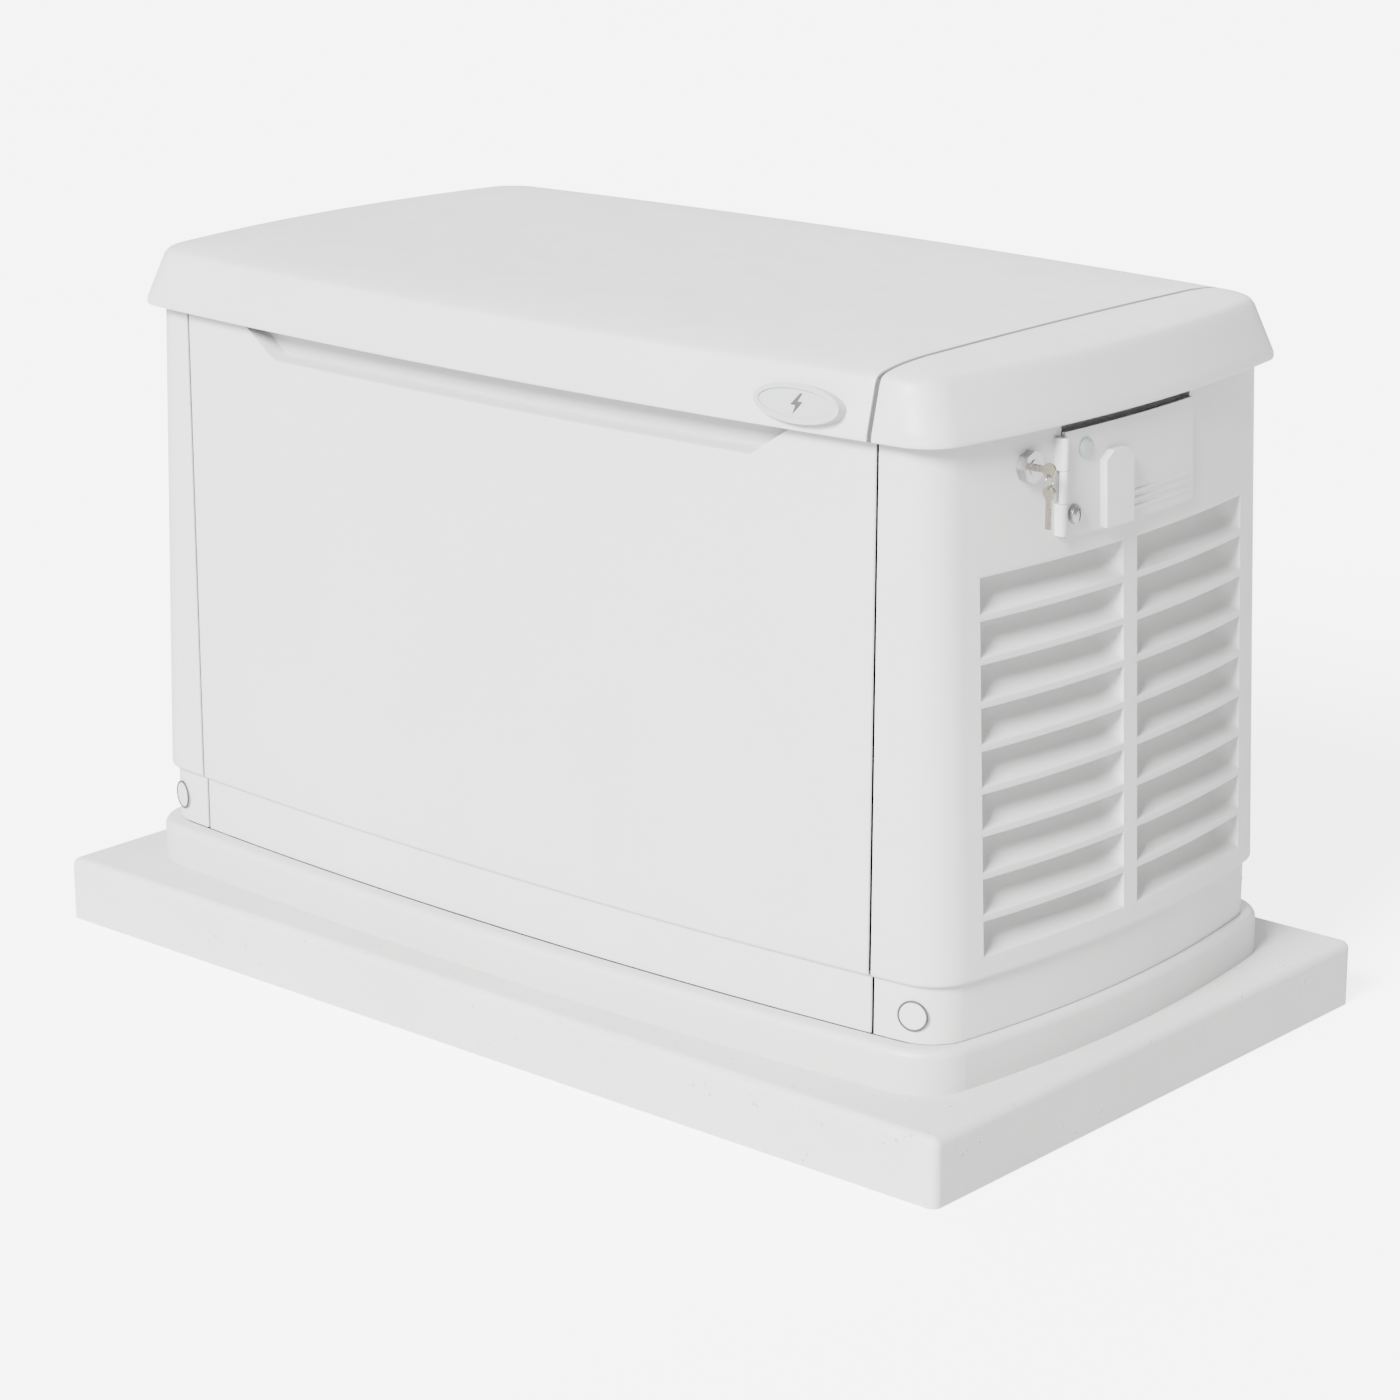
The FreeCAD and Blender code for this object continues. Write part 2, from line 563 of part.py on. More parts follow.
def key_shape(bow_z, blade_along, blade_from, blade_to, notches):
    # a flat key in an upright plane: round bow with a hole, blade with small notches
    plate_y = size("lock_y")
    half = size("key_plate") / 2
    bow_x = size("key_bow_x")
    bow_radius = size("key_bow_radius")
    bow = Part.makeCylinder(bow_radius, 2 * half, V(bow_x, plate_y - half, bow_z), V(0, 1, 0))
    if blade_along == "X":
        blade = slab((blade_from, blade_to), (plate_y - half, plate_y + half), (bow_z - 3.4, bow_z + 3.4))
        teeth = [slab((blade_from + 3 + 3 * step, blade_from + 4.4 + 3 * step),
                      (plate_y - 3, plate_y + 3), (bow_z + 2.2, bow_z + 5)) for step in range(notches)]
    else:
        blade = slab((bow_x - 3.4, bow_x + 3.4), (plate_y - half, plate_y + half), (blade_from, blade_to))
        teeth = [slab((bow_x + 2.2, bow_x + 5), (plate_y - 3, plate_y + 3),
                      (blade_from + 3 + 3 * step, blade_from + 4.4 + 3 * step)) for step in range(notches)]
    return bow.fuse(blade).cut(teeth)


def hole_through_key(height):
    start = V(size("key_bow_x"), size("lock_y") - 5, height)
    return Part.makeCylinder(size("key_hole"), 10, start, V(0, 1, 0))


# the ring's wire rests on the low side of the key's hole, and the spare key hangs on the wire
key_z = size("lock_z")
key_hole_z = key_z - size("key_bow_radius") + size("key_hole_rim")
key_in_lock = key_shape(key_z, "X", size("lock_face_x") - 20, size("key_bow_x") - 4, 5)
keep(made(key_in_lock.cut(hole_through_key(key_hole_z))), "key")
ring_z = key_hole_z - size("ring_rest") - size("ring_radius")
ring_centre = V(size("key_bow_x"), size("lock_y"), ring_z)
keep(made(Part.makeTorus(size("ring_radius"), size("ring_wire"), ring_centre, V(1, 0, 0))), "key_ring")
spare_hole_z = ring_z - size("ring_radius") - size("ring_rest")
spare_z = spare_hole_z - size("key_bow_radius") + size("key_hole_rim")
spare_blade = (spare_z - size("key_bow_radius") - size("key_blade_length"), spare_z - 4)
keep(made(key_shape(spare_z, "Z", *spare_blade, 7).cut(hole_through_key(spare_hole_z))), "spare_key")

cam_x = size("lock_face_x") - size("lock_depth") - 4.5
keeper_width = (size("lock_y") + 14, size("lock_y") + 36)
keeper_strap = slab((cam_x - 9, cam_x - 6), keeper_width, (700, liner_bottom))
keeper_foot = slab((cam_x - 9, cam_x + 6), keeper_width, (697, 700))
keeper_tab = slab((cam_x - 40, cam_x - 6), keeper_width, (liner_bottom - 3, liner_bottom))
keep(made(keeper_strap.fuse([keeper_foot, keeper_tab])), "roof_keeper")

# Breaker door in the right end

door_outside = wall_solid(-0.5 - size("door_thickness")).cut(wall_solid(-0.5))
door_zone = slab((500, far), (-door_half, door_half), (size("door_bottom"), size("door_top")))
door_skin = door_outside.common(door_zone)
hinge_x, hinge_y = size("door_axis_x"), size("door_axis_y")
door_low, door_high = size("door_bottom") + 4, size("door_top") - 4
third = (door_high - door_low) / 3


def upright_rod(radius, low, high, x=hinge_x, y=hinge_y):
    return Part.makeCylinder(radius, high - low, V(x, y, low))


door_barrel = upright_rod(size("door_knuckle"), door_low + third, door_high - third)
door_web = slab((hinge_x - 3.4, hinge_x + 1), (hinge_y, -door_half + 2),
                (door_low + third, door_high - third))
door_pin_way = upright_rod(size("door_pin_radius") + size("running_gap"), door_low - 5, door_high + 5)
screw_way = Part.makeCylinder(4, 60, V(570, size("screw_y"), size("screw_z")), V(1, 0, 0))
lens_way = Part.makeCylinder(size("lens_radius") - 2, 60, V(570, size("lens_y"), size("lens_z")), V(1, 0, 0))
door = door_skin.fuse([door_barrel, door_web]).cut([door_pin_way, screw_way, lens_way])
keep(made(door.removeSplitter()), "breaker_door")

knuckles = []
for low, high in ((door_low, door_low + third - gap), (door_high - third + gap, door_high)):
    knuckle_arm = slab((570, hinge_x), (hinge_y - 4.5, hinge_y + 3), (low, high)).cut(outer_wall)
    knuckles.append(knuckle_arm.fuse(upright_rod(size("door_knuckle"), low, high)).cut(
        upright_rod(size("door_pin_radius"), low - 1, high + 1)).removeSplitter())
keep(made(Part.Compound(knuckles)), "door_hinge_knuckles")
keep(rod("door_pin_radius", "door_top - door_bottom - 6", "door_axis_x", "door_axis_y",
         "door_bottom + 3"), "door_hinge_pin")

pull_outline = [("pull_left", "pull_bottom"), ("pull_right", "pull_bottom"),
                ("pull_right", "pull_top - 9"), ("pull_right - 12", "pull_top"),
                ("pull_left + 12", "pull_top"), ("pull_left", "pull_top - 9")]
pull_blank = facing_end(plate(pull_outline, 60), "door_axis_x")
pull_face = made(wall_solid(-0.5 - size("door_thickness") - size("pull_rise")).cut(
    wall_solid(-0.5 - size("door_thickness"))))
keep(common(pull_blank, pull_face), "breaker_door_pull")

lens_face = end_wall_x(size("lens_y"), size("lens_z")) + 0.5 + size("door_thickness")
lens_rim = turned([("0", "0"), ("lens_radius - 2", "0"), ("lens_radius - 2", "8"),
                   ("lens_radius", "8"), ("lens_radius", "10"), ("lens_radius - 4", "11.6"), ("0", "12")])
place(lens_rim, lens_face - 7.6, "lens_y", "lens_z", (0, 1, 0), 90)
door_solid = made(door)
keep(cut(lens_rim, door_solid), "status_lens")
screw_face = end_wall_x(size("screw_y"), size("screw_z")) + 0.5 + size("door_thickness")
screw_dome = turned([("0", "0"), ("3.9", "0"), ("3.9", "5.5"), ("10", "5.5"), ("9", "9"), ("5.5", "11.5"),
                     ("0", "12.5")])
place(screw_dome, screw_face - 4.3, "screw_y", "screw_z", (0, 1, 0), 90)
screw_slot = box((screw_face + 5.6, screw_face + 20), ("screw_y - 1", "screw_y + 1"),
                 ("screw_z - 8", "screw_z + 8"))
keep(cut(screw_dome, screw_slot), "breaker_door_screw")

# Breaker cabinet, main breaker and its lever

cabinet_half = size("cabinet_half_width")
cabinet_span = (size("cabinet_bottom"), size("cabinet_top"))
cabinet = slab((size("cabinet_x"), far), (-cabinet_half, cabinet_half), cabinet_span).common(inner_wall)
inside = slab((size("cabinet_x") + 3, far), (-cabinet_half + 3, cabinet_half - 3),
              (cabinet_span[0] + 3, cabinet_span[1] - 3))
keep(made(cabinet.cut(inside)), "breaker_cabinet")
breaker = box(("cabinet_x + 3", "breaker_x"), ("-breaker_half_width", "breaker_half_width"),
              ("686 - breaker_half_height", "686 + breaker_half_height"))
lever_slot = box(("breaker_x - 14", "breaker_x + 1"), (-9, 9), (668, 704))
keep(cut(breaker, lever_slot), "main_breaker")
lever_hub = rod(5, 12, "breaker_x - 8", -6, 686, "Y")
lever_arm = place(bind(doc.addObject("Part::Box", "Arm"), Length=22, Width=12, Height=6),
                  "breaker_x - 8", -6, 683, (0, 1, 0), -20)
keep(joined([lever_hub, lever_arm]), "breaker_lever")

# Engine frame, mounts and shaft line

rails = [box((-170, 300), ("%s - rail_width / 2" % y, "%s + rail_width / 2" % y),
             ("rail_top - 30", "rail_top")) for y in ("rail_y", "-rail_y")]
cross_ties = [box((x, "%d + rail_width" % x), ("-rail_y + rail_width / 2", "rail_y - rail_width / 2"),
                  ("rail_top - 30", "rail_top")) for x in (-170, 260)]
keep(joined(rails + cross_ties), "engine_frame")
mounts = [rod(18, "rail_top - 30 - tray_floor", x, "%s * rail_y" % y, "tray_floor")
          for x in (-130, 260) for y in (-1, 1)]
keep(group(mounts), "vibration_mounts")

axis = (0, "shaft_z")
case_sides = ("-case_half_depth", "case_half_depth")
case_block = box(("case_left", "case_right"), case_sides, ("rail_top", "case_top"))
case_cavity = rod("case_cavity", "case_right - case_left - 24", "case_left + 12", *axis, "X")
case_bore = rod("shaft_radius + 0.05", "case_right - case_left + 2", "case_left - 1", *axis, "X")


def around_shaft(item, angle, x=0):
    # swings a piece that stands straight above the shaft about the shaft's axis
    return place(group([item]), x, 0, "shaft_z", (1, 0, 0), angle)


def cylinder_blank(x):
    # local Z runs out from the shaft
    fin_count = int((size("barrel_end") - size("barrel_start")) / size("fin_pitch")) - 1
    pieces = [rod("barrel_radius", "barrel_end - barrel_start", x, 0, "barrel_start")]
    for fin in range(fin_count):
        low = "barrel_start + %d * fin_pitch" % (fin + 1)
        pieces.append(box(("%d - fin_size / 2" % x, "%d + fin_size / 2" % x),
                          ("-fin_size / 2", "fin_size / 2"), (low, low + " + fin_thickness")))
    pieces.append(box(("%d - fin_size / 2 + 6" % x, "%d + fin_size / 2 - 6" % x),
                      ("-fin_size / 2 + 6", "fin_size / 2 - 6"), ("barrel_end", "barrel_end + head_height")))
    return joined(pieces)


vee = {"left": (45, -68), "right": (-45, -22)}
case_feet = [rod("barrel_radius + 3", "barrel_start", x, 0, 0) for angle, x in vee.values()]
case_necks = joined([around_shaft(foot_rod, angle)
                     for foot_rod, (angle, x) in zip(case_feet, vee.values())])
case_solid = joined([case_block, case_necks])
bell = cut(rod("stator_radius - 20", "stator_left - case_right", "case_right", *axis, "X"),
           rod("stator_bore - 14", "stator_left - case_right", "case_right", *axis, "X"))
keep(joined([cut(case_solid, case_cavity, case_bore), bell]), "crankcase")
cylinder_solids = {}
cylinder_trims = []
for side, (angle, x) in vee.items():
    cylinder_solids[side] = around_shaft(cylinder_blank(x), angle)
    bore_blank = rod("barrel_radius - 5", "barrel_end - barrel_start - 6", x, 0, "barrel_start")
    bore = around_shaft(bore_blank, angle)
    cylinder_trims.append(cut(cylinder_solids[side], bore, case_solid))
keep(group(cylinder_trims), "cylinders")
covers = []
for side, (angle, x) in vee.items():
    cap = box((x - 44, x + 44), (-46, 46),
              ("barrel_end + head_height", "barrel_end + head_height + cover_height"))
    covers.append(around_shaft(rounded(cap, 9, upright), angle))
keep(group(covers), "valve_covers")

shaft_rod = rod("shaft_radius", "bracket_right - fan_left - 14", "fan_left", *axis, "X")
web_disc = rod("case_cavity - 10", 60, "case_left + 40", *axis, "X")
keep(joined([shaft_rod, web_disc]), "crankshaft")
fan_disc = rod("fan_radius", "fan_disc", "fan_left + fan_blade", *axis, "X")
fan_vanes = []
for number in range(int(size("fan_blades"))):
    vane = bind(doc.addObject("Part::Box", "Vane"), Length="fan_blade", Width=3, Height="fan_radius * 0.45")
    place(vane, 0, 0, "fan_radius * 0.5")
    fan_vanes.append(around_shaft(vane, number * 360 / size("fan_blades"), "fan_left"))
fan_hub_way = rod("shaft_radius", 80, "fan_left - 5", *axis, "X")
keep(cut(joined([fan_disc] + fan_vanes), fan_hub_way), "flywheel_fan")

blower = rod("blower_radius", "case_left - 2 - blower_left", "blower_left", *axis, "X")
blower_room = rod("blower_radius - 6", "case_left - 4 - blower_left", "blower_left + 3", *axis, "X")
blower_eye = rod("fan_radius * 0.62", 10, "blower_left - 2", *axis, "X")
blower_back = rod("shaft_radius + 8", 30, "case_left - 15", *axis, "X")
keep(cut(blower, blower_room, blower_eye, blower_back, case_solid,
         *cylinder_solids.values()), "blower_housing")

stator_ring = rod("stator_radius", "stator_right - stator_left", "stator_left", *axis, "X")
stator_feet = box(("stator_left + 20", "stator_right - 20"), (-118, 118), ("rail_top", "shaft_z - 60"))
stator_hole = rod("stator_bore", 400, "stator_left - 50", *axis, "X")
keep(cut(joined([stator_ring, stator_feet]), stator_hole), "alternator_stator")
bracket_disc = rod("stator_radius", "bracket_right - stator_right", "stator_right", *axis, "X")
bracket_room = rod("stator_bore", "bracket_right - stator_right - 8", "stator_right", *axis, "X")
bearing_seat = rod(34, "bracket_right - stator_right", "stator_right", *axis, "X")
bearing_way = rod(30, 60, "stator_right - 10", *axis, "X")
keep(cut(joined([cut(bracket_disc, bracket_room), bearing_seat]), bearing_way), "alternator_end_bracket")
bearing = rod(30, 16, "bracket_right - 24", *axis, "X")
keep(cut(bearing, rod("shaft_radius + 0.05", 60, "bracket_right - 40", *axis, "X")), "rotor_bearing")
rotor = rod("rotor_radius", "stator_right - stator_left - 24", "stator_left + 12", *axis, "X")
keep(cut(rotor, rod("shaft_radius", 300, "stator_left - 20", *axis, "X")), "alternator_rotor")


def pipe(points, radius, share=0.45):
    # a round bar along straight runs joined by tangent arcs, each as large as its runs allow
    spots = [V(*point) for point in points]
    edges = []
    start = spots[0]
    for before, here, after in zip(spots, spots[1:], spots[2:]):
        inward = (here - before).normalize()
        outward = (after - here).normalize()
        shorter = min(here.distanceToPoint(before), after.distanceToPoint(here))
        reach = share * shorter
        turn = inward.getAngle(outward)
        bend = reach / math.tan(turn / 2)
        arc_start = here - inward * reach
        arc_end = here + outward * reach
        middle = here + (outward - inward).normalize() * (bend / math.cos(turn / 2) - bend)
        edges.append(Part.LineSegment(start, arc_start).toShape())
        edges.append(Part.Arc(arc_start, middle, arc_end).toShape())
        start = arc_end
    edges.append(Part.LineSegment(start, spots[-1]).toShape())
    first = (spots[1] - spots[0]).normalize()
    profile = Part.Wire([Part.Circle(spots[0], first, radius).toShape()])
    return Part.Wire(edges).makePipeShell([profile], True, False)


# Starter, intake, exhaust

starter_body = rod(32, 148, -128, -118, 232, "X")
starter_nose = rod(14, 60, -188, -118, 232, "X")
starter_stud = rod(5, 14, -60, -118, 263)
starter_room = rod("blower_radius", "case_left - blower_left", "blower_left", *axis, "X")
keep(cut(joined([starter_body, starter_nose, starter_stud]), starter_room), "starter_motor")

mixer = slab((-75, -15), (-25, 25), (440, size("cleaner_bottom")))
manifold = mixer.fuse([pipe([(-62, -20, 455), (-62, -62, 462), (-62, -112, 492)], 12),
                       pipe([(-28, 20, 455), (-28, 62, 462), (-28, 112, 492)], 12)])
doc.recompute()
bank_shapes = [item.Shape for item in cylinder_solids.values()]
cleaner_zone = slab((-200, 100), (-85, 85), (size("cleaner_bottom"), 600))
keep(made(manifold.cut(bank_shapes + [cleaner_zone]).removeSplitter()), "intake_manifold")
cleaner = box(("-45 - cleaner_length / 2", "-45 + cleaner_length / 2"),
              ("-cleaner_depth / 2", "cleaner_depth / 2"),
              ("cleaner_bottom", "cleaner_bottom + cleaner_height"))
keep(rounded(cleaner, 16, upright), "air_cleaner")

muffler_x, muffler_z, muffler_radius = size("muffler_x"), size("muffler_z"), size("muffler_radius")
muffler_half = size("muffler_length") / 2
can = Part.makeCylinder(muffler_radius, 2 * muffler_half, V(muffler_x, -muffler_half, muffler_z), V(0, 1, 0))
tail_pipe = Part.makeCylinder(16, muffler_radius + 36, V(muffler_x, 0, muffler_z), V(-1, 0, 0))
muffler_legs = [slab((muffler_x - 20, muffler_x + 20), (y - 12, y + 12), (size("tray_floor"), muffler_z))
                for y in (-150, 150)]
muffler_wall = 3
can_room = Part.makeCylinder(muffler_radius - muffler_wall, 2 * (muffler_half - muffler_wall),
                             V(muffler_x, muffler_wall - muffler_half, muffler_z), V(0, 1, 0))
tail_way = Part.makeCylinder(16 - muffler_wall, muffler_radius + 40, V(muffler_x, 0, muffler_z), V(-1, 0, 0))
leg_zone = [leg.cut(can) for leg in muffler_legs]
keep(made(can.fuse([tail_pipe] + leg_zone).cut([can_room, tail_way]).removeSplitter()), "muffler")
port_y, port_z = 140, 458
ports = [pipe([(x, y, port_z), (muffler_x, y, port_z), (muffler_x, y, muffler_z + 20)],
              size("exhaust_radius"), 0.35) for x, y in ((-118, -port_y), (-72, port_y))]
keep(made(Part.Compound([port.cut([can] + bank_shapes) for port in ports])), "exhaust_pipes")

wall_x, sheet_metal = size("partition_x"), size("sheet_thickness")
firewall = slab((wall_x - sheet_metal, wall_x), (-274, 286), (size("tray_floor"), 740))
firewall_ways = [Part.makeCylinder(size("exhaust_radius") + 3, 20, V(wall_x - 10, y, port_z), V(1, 0, 0))
                 for y in (-port_y, port_y)]
air_way = Part.makeCylinder(96, 20, V(wall_x - 10, 0, size("shaft_z")), V(1, 0, 0))
keep(made(firewall.cut(firewall_ways + [air_way])), "partition_wall")

# Controls on their stand

panel_span = (("controls_left", "controls_right"), ("controls_front", "controls_back"),
              ("controls_bottom", "controls_top"))
hollow_span = [("%s + sheet_thickness" % low, "%s - sheet_thickness" % high) for low, high in panel_span]
stand_outline = [("-60", "tray_floor"), ("180", "tray_floor"), ("180", "controls_bottom"),
                 ("controls_front", "controls_bottom"), ("controls_front", "420"), ("-60", "420")]
stand = facing_end(plate(stand_outline, "sheet_thickness"), "stand_x")
button_y = "(controls_front + controls_back) / 2 - 40"
button_spots = {"auto_button": "controls_left + 90", "off_button": "controls_left + 135",
                "manual_button": "controls_left + 180"}
button_ways = [rod("button_radius + 0.3", 20, x, button_y, "controls_top - 15")
               for x in button_spots.values()]
controls = cut(joined([box(*panel_span), stand]), box(*hollow_span), *button_ways)
keep(controls, "control_box")
for label, x in button_spots.items():
    cap = rod("button_radius", "button_height + 9", x, button_y, "controls_top - 9")
    keep(place(joined([cap, rod("button_radius + 2", 3, x, button_y, "controls_top - 9")]), 0, 0, 0), label)

# Battery and its cables

battery_span = (("battery_left", "battery_left + battery_length"),
                ("battery_front", "battery_front + battery_depth"),
                ("tray_floor", "tray_floor + battery_height"))
case = rounded(box(*battery_span), 5, upright)
post_z = "tray_floor + battery_height"
post_y = "battery_front + battery_depth - 43"
posts = [rod(9, 12, x, post_y, post_z) for x in ("battery_left + 42", "battery_left + battery_length - 42")]
keep(joined([case] + posts), "battery")
post_top = worked_out(post_z) + 12
post_depth = worked_out(post_y)
live_x = worked_out("battery_left + 42")
ground_x = worked_out("battery_left + battery_length - 42")
cable_radius = 5
live_route = [(live_x, post_depth, post_top), (live_x, post_depth, 358), (300, -182, 352),
              (20, -182, 312), (-60, -118, 318), (-60, -118, 277)]
ground_route = [(ground_x, post_depth, post_top), (ground_x, post_depth, 380), (300, -204, 376),
                (44, -200, 290), (33, -120, 250), (33, -82, 250)]
cables = [pipe(route, cable_radius) for route in (live_route, ground_route)]
keep(made(Part.Compound(cables)), "battery_cables")

# Gas regulator with its inlet pipe, and the hose to the mixer

inlet_x, inlet_z = size("inlet_x"), size("inlet_z")
inlet_radius = size("inlet_radius")
inlet_mouth, riser_y, regulator_low = 345, 228, 250
inlet = Part.makeCylinder(inlet_radius, inlet_mouth - riser_y, V(inlet_x, riser_y, inlet_z), V(0, 1, 0))
riser = Part.makeCylinder(inlet_radius, regulator_low - inlet_z + 20, V(inlet_x, riser_y, inlet_z - 0))
elbow = Part.makeSphere(inlet_radius, V(inlet_x, riser_y, inlet_z))
regulator_case = slab((inlet_x - 36, inlet_x + 36), (riser_y - 34, riser_y + 26), (regulator_low, 335))
diaphragm = Part.makeCylinder(46, 26, V(inlet_x, riser_y - 60, 292), V(0, 1, 0))
outlet = Part.makeCylinder(9, 24, V(inlet_x - 34, riser_y - 8, 300), V(-1, 0, 0))
inlet_way = Part.makeCylinder(size("inlet_bore"), 70, V(inlet_x, inlet_mouth - 60, inlet_z), V(0, 1, 0))
regulator = inlet.fuse([riser, elbow, regulator_case, diaphragm, outlet]).cut(inlet_way)
keep(made(regulator.removeSplitter()), "gas_regulator")
hose_route = [(inlet_x - 58, riser_y - 8, 300), (310, 220, 300), (230, 205, 352), (160, 140, 440),
              (60, 40, 470), (0, 0, 466), (-15, 0, 466)]
keep(made(pipe(hose_route, size("hose_radius"))), "gas_hose")
doc.recompute()
for item in doc.Objects:
    if {"Invalid", "Error"} & set(item.State):
        raise RuntimeError("failed: " + item.Label)
for item in parts:
    if item.Shape.isNull() or not item.Shape.isValid():
        raise RuntimeError("bad shape: " + item.Label)
os.makedirs("parts", exist_ok=True)
for item in parts:
    item.Shape.exportStep("parts/%s.step" % item.Label)
    print(item.Label, len(item.Shape.Solids), round(item.Shape.Volume / 1000), "cm3",
          [round(edge) for edge in (item.Shape.BoundBox.XMin, item.Shape.BoundBox.XMax,
                                    item.Shape.BoundBox.YMin, item.Shape.BoundBox.YMax,
                                    item.Shape.BoundBox.ZMin, item.Shape.BoundBox.ZMax)])
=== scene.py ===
import json
import math

import bmesh
import bpy
from mathutils import Matrix, Vector


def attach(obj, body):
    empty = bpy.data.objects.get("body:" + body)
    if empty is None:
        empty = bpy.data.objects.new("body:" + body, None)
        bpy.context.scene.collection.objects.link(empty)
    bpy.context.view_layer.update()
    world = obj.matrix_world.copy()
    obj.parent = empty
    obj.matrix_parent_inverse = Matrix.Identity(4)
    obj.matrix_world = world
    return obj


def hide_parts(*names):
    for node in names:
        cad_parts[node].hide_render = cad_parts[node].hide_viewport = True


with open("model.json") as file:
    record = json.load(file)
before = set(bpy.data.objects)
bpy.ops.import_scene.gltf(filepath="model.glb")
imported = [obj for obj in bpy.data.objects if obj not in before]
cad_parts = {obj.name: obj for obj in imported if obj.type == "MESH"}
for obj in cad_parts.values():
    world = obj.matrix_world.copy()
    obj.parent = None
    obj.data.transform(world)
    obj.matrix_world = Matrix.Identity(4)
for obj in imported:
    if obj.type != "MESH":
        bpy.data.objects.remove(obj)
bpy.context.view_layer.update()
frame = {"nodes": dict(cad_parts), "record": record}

scene = bpy.context.scene


# Node helpers for the materials


def startMaterial(name):
    material = bpy.data.materials.new(name)
    material.use_nodes = True
    tree = material.node_tree
    shader = tree.nodes["Principled BSDF"]
    place = tree.nodes.new("ShaderNodeTexCoord").outputs["Object"]
    return material, tree, shader, place


def noiseNode(tree, place, scale, detail=4, roughness=0.5, stretch=(1, 1, 1)):
    mapping = tree.nodes.new("ShaderNodeMapping")
    mapping.inputs["Scale"].default_value = stretch
    tree.links.new(place, mapping.inputs["Vector"])
    noise = tree.nodes.new("ShaderNodeTexNoise")
    noise.inputs["Scale"].default_value = scale
    noise.inputs["Detail"].default_value = detail
    noise.inputs["Roughness"].default_value = roughness
    tree.links.new(mapping.outputs["Vector"], noise.inputs["Vector"])
    return noise.outputs["Fac"]


def rampNode(tree, value, low, high, fromColour, toColour):
    ramp = tree.nodes.new("ShaderNodeValToRGB")
    ramp.color_ramp.elements[0].position = low
    ramp.color_ramp.elements[1].position = high
    ramp.color_ramp.elements[0].color = (*fromColour, 1)
    ramp.color_ramp.elements[1].color = (*toColour, 1)
    tree.links.new(value, ramp.inputs["Fac"])
    return ramp.outputs["Color"]


def rangeNode(tree, value, fromLow, fromHigh, toLow, toHigh):
    node = tree.nodes.new("ShaderNodeMapRange")
    limits = {"From Min": fromLow, "From Max": fromHigh, "To Min": toLow, "To Max": toHigh}
    for name, number in limits.items():
        node.inputs[name].default_value = number
    tree.links.new(value, node.inputs["Value"])
    return node.outputs["Result"]


def mathNode(tree, operation, first, second):
    node = tree.nodes.new("ShaderNodeMath")
    node.operation = operation
    for socket, value in zip(node.inputs, (first, second)):
        if isinstance(value, (int, float)):
            socket.default_value = value
        else:
            tree.links.new(value, socket)
    return node.outputs["Value"]


def mixNode(tree, factor, first, second):
    node = tree.nodes.new("ShaderNodeMix")
    node.data_type = "RGBA"
    # a Mix node keeps its colour sockets after those for numbers and vectors
    sockets = [node.inputs[0], node.inputs[6], node.inputs[7]]
    for socket, value in zip(sockets, (factor, first, second)):
        if isinstance(value, (int, float)):
            socket.default_value = value
        elif isinstance(value, tuple):
            socket.default_value = (*value, 1)
        else:
            tree.links.new(value, socket)
    return node.outputs[2]


def bumpNode(tree, height, distance, strength=1.0, before=None):
    bump = tree.nodes.new("ShaderNodeBump")
    bump.inputs["Distance"].default_value = distance
    bump.inputs["Strength"].default_value = strength
    tree.links.new(height, bump.inputs["Height"])
    if before is not None:
        tree.links.new(before, bump.inputs["Normal"])
    return bump.outputs["Normal"]


def upwardness(tree, steep=0.2, flat=0.95):
    # how far a surface faces the sky, from 0 on steep walls to 1 on flat tops
    geometry = tree.nodes.new("ShaderNodeNewGeometry")
    split = tree.nodes.new("ShaderNodeSeparateXYZ")
    tree.links.new(geometry.outputs["Normal"], split.inputs["Vector"])
    return rangeNode(tree, split.outputs["Z"], steep, flat, 0, 1)


def nearGround(tree, place, low, high):
    # 1 below the low height, fading to 0 at the high one
    split = tree.nodes.new("ShaderNodeSeparateXYZ")
    tree.links.new(place, split.inputs["Vector"])
    return rangeNode(tree, split.outputs["Z"], low, high, 1, 0)


weather = {"dust": (0.44, 0.42, 0.39), "settled": 0.1, "splashed": 0.1, "splashRough": 0.4}


